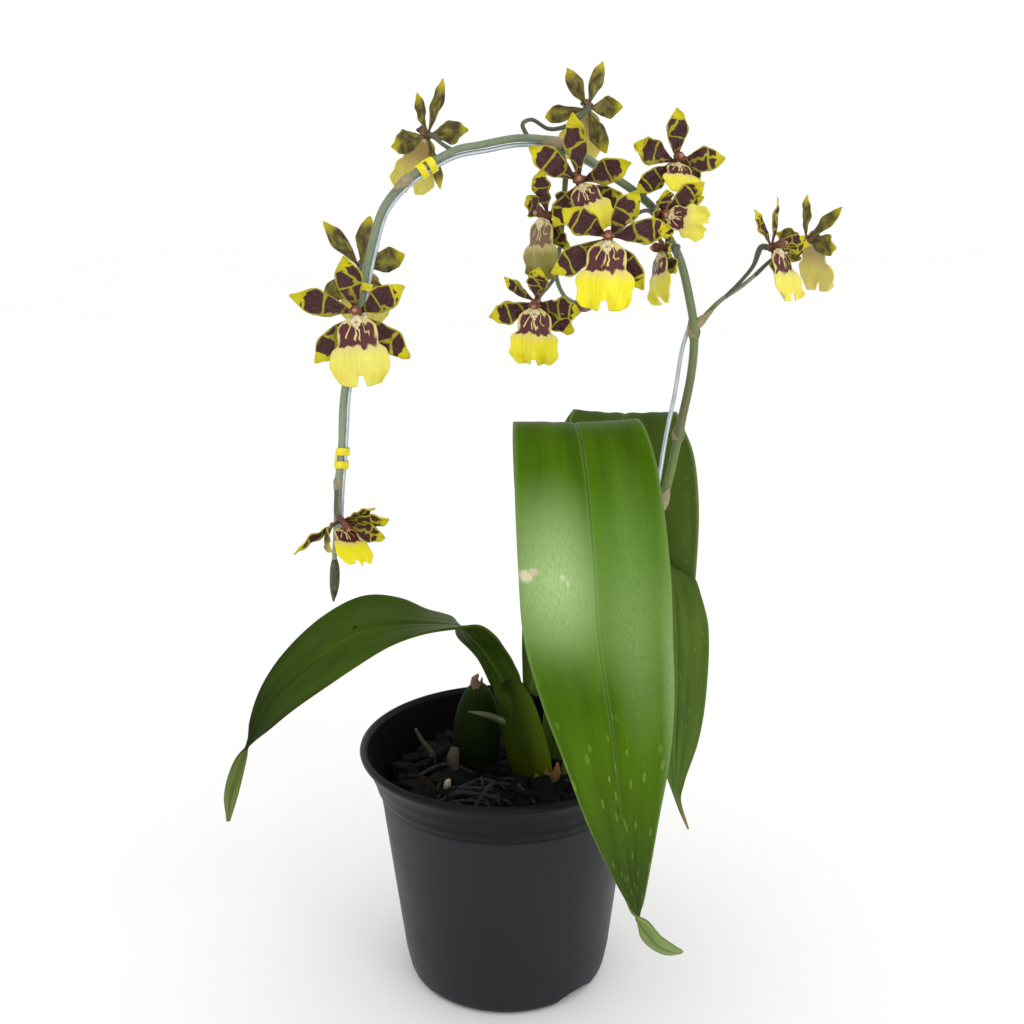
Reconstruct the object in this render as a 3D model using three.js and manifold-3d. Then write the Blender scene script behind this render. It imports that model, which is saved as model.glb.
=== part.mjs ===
// An oncidium orchid in its nursery pot: pot, growing medium, two pseudobulbs, four leaves, the arching flower
// spike on its support wire, three ties and fourteen blooms.
// Millimetres, +Z up. The origin is the centre of the pot's flat base; the side the plant is seen from is -Y.
import * as THREE from "three";
import { mergeVertices } from "three/addons/utils/BufferGeometryUtils.js";
import Module from "manifold-3d";

const wasm = await Module();
wasm.setup();

// ---- driving dimensions ----
const clearance = 0.3; // between pieces that touch

const pot = {
  rimRadius: 65,
  height: 110,
  lipThickness: 2.6,
  wall: 1.6,
  shoulderRadius: 56.4, // where the flared lip meets the body
  shoulderHeight: 91,
  baseRadius: 42,
  cornerHeight: 12,
  cornerRadius: 47,
  sides: 30,
};
// Drain notches in the base corner, the first one's place in degrees.
const drain = { count: 3, first: -48, halfWidth: 11, height: 4.8 };

const medium = { top: 91, chunks: 22, chunkSize: 9, sides: 24, seed: 7 };

const stemRadius = { base: 2.9, top: 1.8, end: 1.05 };
const wireRadius = 0.95;
const tie = { width: 3.1, thickness: 0.65, sides: 8 };

const leafThickness = 1.0;
const tepalThickness = 0.8;
const lipThickness = 0.8;
const hubRadius = 2.4; // the knot where a bloom's tepals meet
const rootRadius = 1.7; // how near its centre they start

// ---- helpers ----
const vec = (p) => new THREE.Vector3(p[0], p[1], p[2]);
const curveThrough = (points) => new THREE.CatmullRomCurve3(points.map(vec), false, "centripetal");
const degrees = THREE.MathUtils.degToRad;

// A small seeded generator, so that every build is the same.
function randomFrom(seed) {
  let state = seed;
  return () => {
    state = (state * 1664525 + 1013904223) % 4294967296;
    return state / 4294967296;
  };
}

// A value from evenly spaced stations, joined by straight lines.
function alongStations(values, t) {
  const place = THREE.MathUtils.clamp(t, 0, 1) * (values.length - 1);
  const below = Math.min(Math.floor(place), values.length - 2);
  return THREE.MathUtils.lerp(values[below], values[below + 1], place - below);
}

// A closed geometry as a manifold solid.
function solidOf(geometry) {
  const bare = geometry.clone();
  bare.deleteAttribute("normal");
  bare.deleteAttribute("uv");
  const merged = mergeVertices(bare, 1e-4);
  return new wasm.Manifold(
    new wasm.Mesh({
      numProp: 3,
      vertProperties: new Float32Array(merged.attributes.position.array),
      triVerts: new Uint32Array(merged.index.array),
    }),
  );
}

const joined = (solids) => solids.reduce((whole, next) => whole.add(next));

function meshOf(name, solid, material) {
  const made = solid.getMesh();
  const positions = new Float32Array(made.numVert * 3);
  for (let i = 0; i < made.numVert; i++) {
    positions.set(made.vertProperties.subarray(i * made.numProp, i * made.numProp + 3), i * 3);
  }
  const geometry = new THREE.BufferGeometry();
  geometry.setAttribute("position", new THREE.BufferAttribute(positions, 3));
  geometry.setIndex(new THREE.BufferAttribute(new Uint32Array(made.triVerts), 1));
  geometry.computeVertexNormals();
  const mesh = new THREE.Mesh(geometry, material);
  mesh.name = name;
  return mesh;
}

const material = (color, roughness) => new THREE.MeshStandardMaterial({ color, roughness, metalness: 0 });

const finishes = {
  pot: material(0x2b2d30, 0.55),
  medium: material(0x2a2724, 0.95),
  stick: material(0x9a8560, 0.9),
  oldBulb: material(0x3c4d1e, 0.6),
  newBulb: material(0x7d9a2a, 0.5),
  leaf: material(0x3f6a1c, 0.4),
  spike: material(0x66753f, 0.6),
  wire: material(0xdfe3e0, 0.35),
  tie: material(0xf2e021, 0.45),
  tepals: material(0x5b3220, 0.6),
  lip: material(0xf0e23a, 0.6),
};

// A tapering round tube along a curve: a closed cylinder bent to the curve's frames.
function tube(curve, radii, steps, sides) {
  const frames = curve.computeFrenetFrames(steps, false);
  const geometry = new THREE.CylinderGeometry(1, 1, 1, sides, steps);
  const position = geometry.attributes.position;
  for (let i = 0; i < position.count; i++) {
    const t = position.getY(i) + 0.5;
    const step = Math.round(t * steps);
    const radius = alongStations(radii, t);
    const point = curve
      .getPointAt(step / steps)
      .addScaledVector(frames.normals[step], position.getX(i) * radius)
      .addScaledVector(frames.binormals[step], -position.getZ(i) * radius);
    position.setXYZ(i, point.x, point.y, point.z);
  }
  return solidOf(geometry);
}

// A thin blade: surfaceAt(u, v) gives the middle surface, u from -1 to 1 across and v from 0 to 1 along.
// Both faces take the same grid and the same diagonals, so they stay parallel where the blade waves.
function blade(surfaceAt, thickness, rows, columns) {
  const plane = new THREE.PlaneGeometry(2, 1, columns, rows);
  const grid = plane.attributes.position;
  const count = grid.count;
  const positions = new Float32Array(count * 6);
  const nudge = 0.01;
  for (let i = 0; i < count; i++) {
    const u = grid.getX(i);
    const v = 0.5 - grid.getY(i);
    const across = surfaceAt(u + nudge, v).sub(surfaceAt(u - nudge, v));
    const along = surfaceAt(u, Math.min(v + nudge, 1)).sub(surfaceAt(u, Math.max(v - nudge, 0)));
    const normal = along.cross(across).normalize().multiplyScalar(thickness / 2);
    const middle = surfaceAt(u, v);
    positions.set([middle.x + normal.x, middle.y + normal.y, middle.z + normal.z], i * 3);
    positions.set([middle.x - normal.x, middle.y - normal.y, middle.z - normal.z], (count + i) * 3);
  }
  const front = Array.from(plane.index.array);
  const index = [...front];
  for (let i = 0; i < front.length; i += 3) {
    index.push(count + front[i], count + front[i + 2], count + front[i + 1]);
  }
  const at = (row, column) => row * (columns + 1) + column;
  const loop = [];
  for (let c = 0; c < columns; c++) loop.push(at(rows, c));
  for (let r = rows; r > 0; r--) loop.push(at(r, columns));
  for (let c = columns; c > 0; c--) loop.push(at(0, c));
  for (let r = 0; r < rows; r++) loop.push(at(r, 0));
  loop.forEach((a, i) => {
    const b = loop[(i + 1) % loop.length];
    index.push(a, count + a, count + b, a, count + b, b);
  });
  const geometry = new THREE.BufferGeometry();
  geometry.setAttribute("position", new THREE.BufferAttribute(positions, 3));
  geometry.setIndex(index);
  return solidOf(geometry);
}

// ---- pot ----
// A moulded shell: flat base, rounded corner, conical body, a small ridge at the shoulder and a flared,
// rolled lip.
function potSolid() {
  const { rimRadius, height, lipThickness: lip, wall, shoulderRadius, shoulderHeight } = pot;
  const outside = [
    [0, 0],
    [pot.baseRadius, 0],
    [pot.baseRadius + 3, 2.4],
    [pot.cornerRadius, pot.cornerHeight],
    [shoulderRadius, shoulderHeight],
    [shoulderRadius + 1, shoulderHeight + 1.2],
    [rimRadius - 4.6, height - 8.5],
    [rimRadius - 0.6, height - 4],
    [rimRadius, height - 2],
    [rimRadius - 0.8, height - 0.4],
    [rimRadius - lip / 2, height],
  ];
  const inside = [
    [rimRadius - lip, height - 0.8],
    [rimRadius - 4.2 - wall, height - 6.4],
    [shoulderRadius - wall + 0.2, shoulderHeight],
    [pot.cornerRadius - wall, pot.cornerHeight],
    [pot.baseRadius + 1, 3.6],
    [pot.baseRadius - 1.5, wall],
    [0, wall],
  ];
  const profile = [...outside, ...inside].map(([r, z]) => new THREE.Vector2(r, z));
  const shell = new THREE.LatheGeometry(profile, pot.sides).rotateX(Math.PI / 2);
  let made = solidOf(shell);
  for (let i = 0; i < drain.count; i++) {
    const angle = degrees(drain.first + (360 / drain.count) * i);
    const cut = new THREE.CylinderGeometry(1, 1, 16, 12)
      .rotateZ(Math.PI / 2)
      .scale(1, drain.halfWidth, drain.height)
      .translate(pot.baseRadius + 4, 0, 0)
      .rotateZ(angle);
    made = made.subtract(solidOf(cut));
  }
  return made;
}

// ---- pseudobulbs ----
// A flattened egg from its base to its apex, its ends blunter the higher `full` is, and its top narrower
// by `narrow`.
// `grow` widens it all round, for the seat that it stands in.
function bulbSolid({ base, apex, halfWidth, halfDepth, full, narrow }, grow = 0) {
  const axis = vec(apex).sub(vec(base));
  const half = axis.length() / 2;
  const up = axis.clone().normalize();
  const depth = new THREE.Vector3(0, 1, 0).addScaledVector(up, -up.y).normalize();
  const side = new THREE.Vector3().crossVectors(depth, up);
  const middle = vec(base).add(vec(apex)).multiplyScalar(0.5);
  const geometry = new THREE.SphereGeometry(1, 12, 8);
  const position = geometry.attributes.position;
  for (let i = 0; i < position.count; i++) {
    const y = position.getY(i);
    const ring = Math.sqrt(Math.max(1 - y * y, 1e-9));
    const egg = (Math.sqrt(1 - Math.abs(y) ** full) / ring) * (1 - narrow * y);
    const point = middle
      .clone()
      .addScaledVector(up, y * (half + grow))
      .addScaledVector(side, position.getX(i) * (halfWidth * egg + grow))
      .addScaledVector(depth, -position.getZ(i) * (halfDepth * egg + grow));
    position.setXYZ(i, point.x, point.y, point.z);
  }
  return solidOf(geometry);
}

const oldBulb = {
  base: [-14, 9, 84],
  apex: [-12, 12, 133],
  halfWidth: 11,
  halfDepth: 7,
  full: 2.2,
  narrow: 0.12,
};
const newBulb = {
  base: [15, -4, 85],
  apex: [1, 2, 140],
  halfWidth: 9.4,
  halfDepth: 7.6,
  full: 3,
  narrow: 0.12,
};

const sheathPath = curveThrough([[19, -7, 93], [22.5, -9.5, 98], [23, -10, 103]]);

function oldBulbSolid() {
  const tipPath = curveThrough([[-13, 11, 131], [-13.5, 10.8, 134.5], [-12, 10.5, 137]]);
  const tip = tube(tipPath, [2.6, 1.8, 0.7], 3, 6);
  return bulbSolid(oldBulb).add(tip);
}

function newBulbSolid() {
  const shoot = tube(curveThrough([[2, -3, 119], [-7, -7, 124.5], [-16, -9, 127.5]]), [1.7, 1.4, 0.5], 3, 5);
  const sheath = tube(sheathPath, [3.4, 2.6, 0.8], 3, 6);
  return joined([bulbSolid(newBulb), shoot, sheath]);
}

// ---- leaves ----
// Each leaf is a strap between its two edges, from the base to the tip: pairs of points of the left and the right
// edge, and the depth of the V that the blade folds into along its midrib at each pair.
const leaves = {
  leaf_left: {
    edges: [
      [[-6, 5, 134], [7, 1, 138]],
      [[-11, 5, 145], [4, -1, 147]],
      [[-17, 6, 153], [0, -6, 156]],
      [[-21, 8, 158], [-4, -14, 164]],
      [[-22, 8, 163], [-11, -20, 171]],
      [[-27, 4, 168], [-20, -27, 173]],
      [[-34, -4, 174], [-32, -36, 174]],
      [[-44, -13, 181], [-46, -48, 173]],
      [[-59, -22, 185], [-59, -57, 168]],
      [[-74, -33, 181], [-71, -62, 161]],
      [[-87, -43, 171], [-85, -63, 151]],
      [[-97, -50, 157], [-94, -61, 143]],
      [[-102, -54, 144], [-99, -58, 138]],
      [[-103, -55, 136], [-103, -57, 134]],
      [[-104, -55, 129], [-108, -56, 129]],
      [[-107, -54, 118], [-112, -57, 120]],
      [[-110, -54, 108], [-114, -56, 111]],
      [[-113, -53, 100], [-114, -54, 100]],
    ],
    keel: [3, 3, 2, 2, 2, 2, 2, 2, 2, 2, 2, 1, 0.5, 0, 0.5, 0.5, 0.3, 0],
    rows: 26,
  },
  leaf_front: {
    edges: [
      [[8.5, 5, 134], [14, 3, 129]],
      [[8, 6, 150], [21, 6, 147]],
      [[8, 6, 170], [32, 7, 170]],
      [[7, 3, 196], [42, 5, 196]],
      [[5, -6, 224], [49, -5, 225]],
      [[4, -22, 250], [51, -21, 250.5]],
      [[4, -42, 262.3], [51, -41, 262.1]],
      [[4, -62, 262.3], [53, -60, 262.1]],
      [[4, -78, 251], [56, -76, 250.5]],
      [[5, -88, 220], [60, -87, 216]],
      [[7, -91, 191], [61, -91, 191]],
      [[13, -92, 168], [62, -92, 168]],
      [[20, -92, 148], [61, -93, 146]],
      [[30, -92, 119], [57, -94, 119]],
      [[39, -92, 98], [54, -94, 98]],
      [[46, -91, 84], [52, -93, 84]],
      [[49, -92, 79], [51, -90, 76]],
      [[54, -91, 76], [52, -88, 67]],
      [[60, -88, 67], [57, -84, 59]],
      [[66, -84, 60], [63, -82, 55]],
      [[70, -80, 55], [69, -80, 54]],
    ],
    keel: [3, 4, 4, 3, 2, 1, 1, 1.5, 2, 2, 2, 2, 2, 2, 1.5, 1, 0, 0.5, 0.5, 0.3, 0],
    rows: 28,
  },
  leaf_back: {
    edges: [
      [[14, 9, 84], [26, 9, 84]],
      [[17, 17, 105], [32, 18, 106]],
      [[22, 36, 145], [50, 40, 145]],
      [[22, 48, 180], [62, 52, 180]],
      [[24, 54, 212], [72, 57, 212]],
      [[27, 54, 240], [76, 55, 241]],
      [[32.5, 46, 250.5], [79, 45, 250]],
      [[30, 37, 248], [80, 35, 247]],
      [[32, 32, 236], [85, 30, 235]],
      [[37, 29, 213], [88, 28, 213]],
      [[46, 28, 185], [88, 28, 184]],
      [[57, 28, 156], [86, 28, 156]],
      [[68, 28, 136], [81, 28, 134]],
      [[76, 29, 117], [77, 29, 116]],
    ],
    keel: [2, 3, 4, 3, 2, 1, 1, 1, 1, 1, 1, 1, 1, 0],
    rows: 18,
  },
  leaf_right: {
    edges: [
      [[29, 5, 84], [38, 4, 84]],
      [[34, 13, 108], [47, 12, 110]],
      [[42, 21, 136], [60, 20, 138]],
      [[50, 24, 160], [74, 24, 157]],
      [[56, 24, 184], [83, 25, 170]],
      [[60, 20, 195], [86.5, 23, 177]],
      [[63, 14, 189], [88.5, 18, 171]],
      [[64, 11, 162], [92, 15, 158]],
      [[66, 11, 133], [92, 14, 126]],
      [[69, 11, 104], [89, 14, 101]],
      [[75, 11, 84], [83, 13, 81]],
      [[79, 11, 73], [81.5, 12, 73]],
      [[84.5, 10, 59], [85.5, 10, 59]],
    ],
    keel: [2, 3, 3, 2, 1, 1, 1, 1.5, 1.5, 1.5, 1, 0.3, 0],
    rows: 20,
  },
};

// `grow` makes the blade thicker and wider and takes its foot lower, for the slot that it stands in.
function leafSolid({ edges, keel, rows }, grow = 0) {
  const lowered = edges.map((pair, i) => pair.map(([x, y, z]) => [x, y, i === 0 ? z - 2 * grow : z]));
  const left = curveThrough(lowered.map((pair) => pair[0]));
  const right = curveThrough(lowered.map((pair) => pair[1]));
  const middleAt = (v) => left.getPoint(v).add(right.getPoint(v)).multiplyScalar(0.5);
  const surfaceAt = (u, v) => {
    const side = right.getPoint(v).sub(left.getPoint(v)).multiplyScalar(0.5);
    side.setLength(side.length() + grow);
    const along = middleAt(Math.min(v + 0.02, 1)).sub(middleAt(Math.max(v - 0.02, 0)));
    const back = new THREE.Vector3().crossVectors(side, along).normalize();
    const depth = alongStations(keel, v) * (1 - Math.abs(u) ** 1.4);
    return middleAt(v).addScaledVector(side, u).addScaledVector(back, depth);
  };
  return blade(surfaceAt, leafThickness + 2 * grow, rows, 4);
}

// ---- flower spike ----
const stemPath = curveThrough([
  [26, -2, 82],
  [28, -1, 96],
  [34, 3, 125],
  [46, 8, 158],
  [60, 12, 190],
  [70, 13, 218],
  [76, 14, 246],
  [81, 14, 274],
  [81.4, 14, 291],
  [79.3, 14, 303],
  [74.5, 13, 320],
  [69, 12, 330],
  [63.4, 11, 340],
  [55, 10, 347.5],
  [45, 8, 354],
  [36, 6, 360],
  [22, 4, 367],
  [8, 2, 368.6],
  [-8, 0, 366],
  [-18, -2, 364],
  [-35.4, -5, 354],
  [-46, -8, 343],
  [-52, -10, 326],
  [-58.8, -13, 295],
  [-64.5, -15, 267],
  [-66, -16, 248],
  [-67.7, -17, 234],
  [-69, -18, 217],
  [-70.2, -18, 203],
  [-70.6, -18, 199],
]);
const stemRadii = [stemRadius.base, 2.6, 2.3, 1.9, stemRadius.top, 1.65, 1.45, 1.35, 1.3, stemRadius.end];
const stemSteps = 43;

const branches = [
  {
    points: [[81, 14, 291], [92, 13, 303], [100, 13, 308.4], [106, 12, 313.5]],
    radii: [1.3, 0.95, 0.85],
    steps: 5,
  },
  {
    points: [
      [22, 4, 367],
      [26, 6, 358],
      [26, 11, 345],
      [25, 14, 329],
      [23, 12, 314],
      [26, 5, 306],
      [30, 0, 303.5],
    ],
    radii: [1.4, 1.2, 1, 0.9, 0.9],
    steps: 10,
  },
];

// Swollen, bract-sheathed nodes: share of the stem's length from the base, and length of the bract.
const nodes = [
  [0.262, 7],
  [0.317, 5],
  [0.4, 5],
  [0.59, 5],
  [0.708, 8],
  [0.94, 5],
];

const budPath = curveThrough([[-70.4, -18, 200.5], [-70.6, -18, 196], [-70.8, -18, 190], [-71.6, -18, 182]]);
const hangingBudPath = curveThrough([[29, 0.4, 304], [32, 0, 302.5], [35, 0, 302], [38, 0, 302.5]]);

// The support wire stands in the medium, leans along the stem and then follows the inside of the arch
// to its end.
const wireFollow = { from: 0.41, to: 0.99, count: 26 };
const wireSteps = 42;

function besideStem(t, distance, turn) {
  const tangent = stemPath.getTangentAt(t);
  const inward = new THREE.Vector3(-tangent.z, 0, tangent.x).normalize();
  const behind = new THREE.Vector3(0, 1, 0);
  return stemPath
    .getPointAt(t)
    .addScaledVector(inward, distance * Math.cos(turn))
    .addScaledVector(behind, distance * Math.sin(turn));
}

const wireTurns = [85, 88, 70, 20, 40, 45, 45, 45, 40];
const wireTurn = (t) => degrees(alongStations(wireTurns, (t - wireFollow.from) / 0.575));
const wireGap = (t) => alongStations(stemRadii, t) + wireRadius + clearance + 0.1;

function wirePoints() {
  const points = [
    [40, 3, 60],
    [43, 4, 90],
    [56, 6.5, 155],
    [65, 8.5, 210],
    [70, 11, 244],
    [74, 14, 264],
    [77, 17, 282],
  ].map(vec);
  for (let i = 0; i < wireFollow.count; i++) {
    const t = wireFollow.from + ((wireFollow.to - wireFollow.from) * i) / (wireFollow.count - 1);
    points.push(besideStem(t, wireGap(t), wireTurn(t)));
  }
  return points;
}
const wirePath = new THREE.CatmullRomCurve3(wirePoints(), false, "centripetal");

// A tie's oval bands, each round the stem and the wire at a share of the stem's length.
const ties = {
  tie_upper: [0.6845, 0.6925],
  tie_middle: [0.791],
  tie_lower: [0.914, 0.924],
};

function ovalBand(t) {
  const gap = wireGap(t);
  const stem = alongStations(stemRadii, t);
  const tangent = stemPath.getTangentAt(t);
  const towardWire = besideStem(t, 1, wireTurn(t)).sub(stemPath.getPointAt(t)).normalize();
  const across = new THREE.Vector3().crossVectors(tangent, towardWire);
  const inner = (gap + stem + wireRadius) / 2 + clearance;
  const innerAcross = stem + clearance;
  const ring = (grow) => {
    const points = [];
    for (let i = 0; i < tie.sides; i++) {
      const angle = (2 * Math.PI * i) / tie.sides;
      const round = 1 / Math.cos(Math.PI / tie.sides);
      points.push(
        new THREE.Vector2(
          (inner * round + grow) * Math.cos(angle),
          (innerAcross * round * 1.06 + grow) * Math.sin(angle),
        ),
      );
    }
    return points;
  };
  const shape = new THREE.Shape(ring(tie.thickness));
  shape.holes.push(new THREE.Path(ring(0).reverse()));
  const geometry = new THREE.ExtrudeGeometry(shape, { depth: tie.width, bevelEnabled: false });
  const centre = stemPath
    .getPointAt(t)
    .addScaledVector(towardWire, (gap - stem + wireRadius) / 2)
    .addScaledVector(tangent, tie.width / 2);
  const place = new THREE.Matrix4().makeBasis(towardWire, across.negate(), tangent.clone().negate());
  place.setPosition(centre);
  return solidOf(geometry.applyMatrix4(place));
}

// ---- blooms ----
// hub: where the tepals meet. azimuth and elevation: the way the bloom faces, 0 and 0 being -Y. Each tepal is
// [clock angle from the top, length, half width, lift toward the viewer, curl back toward the tip], in the order
// dorsal sepal, right petal, right sepal, left sepal, left petal. lip: [clock angle, lift, curl, size].
// pedicel: from the stem toward the back of the bloom.
const blooms = [
  {
    hub: [-57, -20, 302],
    azimuth: 0,
    elevation: 0,
    tepals: [
      [-10, 23, 5.3, 14, 10],
      [61, 24, 5, 34, 30],
      [131, 27, 4.8, 4, 8],
      [-138, 26, 4.8, 8, 8],
      [-74, 27, 5, 8, 5],
    ],
    lip: [176, 32, 45, 1.05],
    pedicel: [[-59, -13, 293], [-58.6, -14, 297]],
  },
  {
    hub: [-57, 1, 318],
    azimuth: 180,
    elevation: 0,
    tepals: [
      [-9, 23, 4, 15, -20],
      [38, 24, 3.2, 5, 5],
      [129, 22, 4, 8, 10],
      [-150, 20, 4, 8, 10],
      [-73, 19, 4.6, 20, 40],
    ],
    lip: [180, 35, 45, 0.9],
    pedicel: [[-52.8, -10.3, 323], [-54.5, -8, 320.5]],
  },
  {
    hub: [-29, 5, 370],
    azimuth: -150,
    elevation: 5,
    tepals: [
      [30, 21, 2.1, -15, 25],
      [-12, 22.5, 2.4, -15, -10],
      [-83, 19, 4.4, 5, 5],
      [-162, 22, 2.4, 2, 0],
      [108, 15.5, 4.6, 17, 12],
    ],
    lip: [171, 30, 40, 0.88],
    pedicel: [[-19, -2, 364], [-23, -1.5, 366.5]],
  },
  {
    hub: [36, 24, 381],
    azimuth: 180,
    elevation: 5,
    tepals: [
      [29, 19, 3.2, -15, 10],
      [-20, 20, 2.8, 10, -10],
      [-89, 17, 4.2, 30, 10],
      [-155, 20, 3.6, 8, 5],
      [101, 22, 3.4, 35, 110],
    ],
    lip: [172, 42, 45, 0.85],
    pedicel: [[11, 2, 369], [9, 6, 374], [13, 11, 376], [20, 14, 372.5], [28, 15, 374]],
  },
  {
    hub: [31, -12, 351.5],
    azimuth: 0,
    elevation: -5,
    tepals: [
      [-7, 26, 4.4, 2, 5],
      [67, 23, 4.8, 35, 15],
      [120, 23, 4.6, 12, 10],
      [-150, 20, 4.2, -2, 5],
      [-56, 24, 4.8, 10, 10],
    ],
    lip: [158, 38, 30, 0.75],
    pedicel: [[26, 7.6, 355], [31, 2, 354.5]],
  },
  {
    hub: [19, 0, 338.5],
    azimuth: -50,
    elevation: -5,
    tepals: [
      [-8, 18, 4.6, 6, 8],
      [-62, 13.5, 4.6, 15, 25],
      [50, 14, 4.4, -25, 5],
      [-150, 17, 4.2, -5, 5],
      [152, 16, 3.6, -8, 5],
    ],
    lip: [178, 28, 45, 0.92],
    pedicel: [[25.6, 12.6, 337], [24, 7, 338]],
  },
  {
    hub: [41, -30, 331],
    azimuth: -8,
    elevation: -8,
    tepals: [
      [32, 22, 4.6, 19, 10],
      [80, 24, 4.6, 7, 5],
      [145, 24, 4.8, 14, 10],
      [-122, 26, 4.8, 10, 10],
      [-53, 24, 5, 38, 15],
    ],
    lip: [-177, 36, 45, 1],
    pedicel: [[66, 11.5, 335], [60, 4, 340], [52, -10, 338], [46, -20, 334]],
  },
  {
    hub: [71, 7, 359],
    azimuth: 8,
    elevation: 5,
    tepals: [
      [-2, 21, 4.2, 15, 5],
      [88, 20, 4.8, 35, 15],
      [125, 17, 4.2, -25, 5],
      [-125, 21, 4.2, 12, 8],
      [-70, 20, 5, 15, 5],
    ],
    lip: [-174, 56, 20, 0.66],
    pedicel: [[58, 10.3, 345], [62, 12, 351], [67, 13.5, 356]],
  },
  {
    hub: [64, -8, 339],
    azimuth: 20,
    elevation: -5,
    tepals: [
      [48, 20, 4, 22, 5],
      [72, 20, 3.6, 0, 5],
      [178, 10, 3.6, 30, 10],
      [-100, 13, 3.6, 50, 10],
      [-20, 14, 3.6, 45, 10],
    ],
    lip: [104, 42, 15, 0.62],
    pedicel: [[62.6, 11, 341.5], [63.4, 4, 341]],
  },
  {
    hub: [67, -2, 325],
    azimuth: -65,
    elevation: -10,
    tepals: [
      [12, 9, 3.4, -5, 5],
      [84, 13, 3.2, 30, 10],
      [124, 15, 3.2, 22, 10],
      [-145, 15, 3.4, -12, 5],
      [-75, 10, 3.4, -10, 5],
    ],
    lip: [165, 40, 50, 0.8],
    pedicel: [[73.5, 13, 322], [72, 5, 324]],
  },
  {
    hub: [14, -12, 305],
    azimuth: -12,
    elevation: -25,
    tepals: [
      [5, 14, 4.4, -20, 0],
      [94, 19, 4.6, 20, 10],
      [128, 19, 4.4, 14, 8],
      [-104, 20, 4.6, 16, 8],
      [-66, 18, 2.6, -20, 20],
    ],
    lip: [-177, 40, 45, 0.9],
    pedicel: [[23, 12, 314], [19, 2, 310]],
  },
  {
    hub: [110.5, 3, 325.2],
    azimuth: 45,
    elevation: 0,
    tepals: [
      [16, 20.5, 2.1, -2, 8],
      [60, 14, 2.6, 52, 0],
      [84, 15, 3.4, 50, 14],
      [-170, 14, 2.8, 20, 5],
      [-36, 18.5, 2.2, -6, 0],
    ],
    lip: [-179, 37, 30, 0.82],
    pedicel: [[94, 13, 304.4], [99.8, 12, 310.7], [104.6, 10, 317.4]],
  },
  {
    hub: [127.5, 16, 327.3],
    azimuth: 125,
    elevation: 5,
    tepals: [
      [-52, 22, 2.6, 10, 10],
      [-2, 18.5, 2.1, -6, -15],
      [-100, 16, 4.2, 5, 8],
      [150, 12, 3.2, -30, 8],
      [62, 13, 3.2, -45, 10],
    ],
    lip: [176, 34, 40, 0.84],
    pedicel: [[106, 12, 313.5], [111.7, 12, 319], [117, 12.5, 323]],
  },
  {
    hub: [-66, -26, 219],
    azimuth: 30,
    elevation: -35,
    tepals: [
      [38, 17, 3.2, 25, 10],
      [62, 20, 4, 34, 12],
      [98, 19, 4.4, 38, 10],
      [-106, 24, 2.6, 14, -10],
      [-92, 20, 4.2, 8, -100],
    ],
    lip: [-168, 94, 12, 0.72],
    pedicel: [[-67.9, -17.2, 231.6], [-68.4, -20, 227]],
  },
];

// Half widths of a lip from its base to its edge: narrow base, side lobes, waist and broad fan.
const lipHalfWidths = [2.6, 6.9, 7.6, 7.6, 10.1, 10.8, 10.6, 8.6];
const lipLength = 27;

function bloomFrame({ hub, azimuth, elevation }) {
  const a = degrees(azimuth);
  const e = degrees(elevation);
  const face = new THREE.Vector3(Math.sin(a) * Math.cos(e), -Math.cos(a) * Math.cos(e), Math.sin(e));
  const right = new THREE.Vector3(Math.cos(a), Math.sin(a), 0);
  const up = new THREE.Vector3().crossVectors(face, right);
  return new THREE.Matrix4().makeBasis(right, up, face).setPosition(vec(hub));
}

// The point at arc length s on a path that starts at a lift and curls back evenly, as
// [outward, toward the viewer].
function curledPath(s, length, lift, curl) {
  const start = degrees(lift);
  const bend = degrees(curl) / length;
  if (Math.abs(bend) < 1e-6) return [s * Math.cos(start), s * Math.sin(start)];
  return [
    (Math.sin(start) - Math.sin(start - bend * s)) / bend,
    (Math.cos(start - bend * s) - Math.cos(start)) / bend,
  ];
}

function tepalSolid([angle, length, halfWidth, lift, curl], frame) {
  const turn = degrees(angle);
  const outward = new THREE.Vector3(Math.sin(turn), Math.cos(turn), 0);
  const side = new THREE.Vector3(Math.cos(turn), -Math.sin(turn), 0);
  const surfaceAt = (u, v) => {
    const [out, forward] = curledPath(rootRadius + v * (length - rootRadius), length, lift, curl);
    const share = 0.13 * (1 - v) ** 2 + Math.sin(Math.PI * v ** 1.3) + 0.25 * v ** 6;
    const across = u * halfWidth * share;
    const cup = 0.1 * halfWidth * share * u * u;
    return outward
      .clone()
      .multiplyScalar(out)
      .addScaledVector(side, across)
      .add(new THREE.Vector3(0, 0, forward + cup))
      .applyMatrix4(frame);
  };
  return blade(surfaceAt, tepalThickness, 4, 2);
}

function lipSolid([angle, lift, curl, size], frame) {
  const turn = degrees(angle);
  const outward = new THREE.Vector3(Math.sin(turn), Math.cos(turn), 0);
  const side = new THREE.Vector3(Math.cos(turn), -Math.sin(turn), 0);
  const start = outward.clone().multiplyScalar(0.8).add(new THREE.Vector3(0, 0, 3.0));
  const length = lipLength * size;
  const surfaceAt = (u, v) => {
    const spread = Math.abs(u);
    const edge = 1 - 0.13 * Math.max(0, 1 - 2 * spread) - 0.08 * Math.max(0, 2 * spread - 1);
    const [out, forward] = curledPath(v * length * (1 + (edge - 1) * v * v), length, lift, curl);
    const across = u * size * alongStations(lipHalfWidths, v);
    const droop = -1.6 * u * u * Math.sin(Math.PI * v) + 0.8 * v * v * Math.cos(2 * Math.PI * u);
    return start
      .clone()
      .addScaledVector(outward, out)
      .addScaledVector(side, across)
      .add(new THREE.Vector3(0, 0, forward + droop))
      .applyMatrix4(frame);
  };
  return blade(surfaceAt, lipThickness, 6, 4);
}

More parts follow.
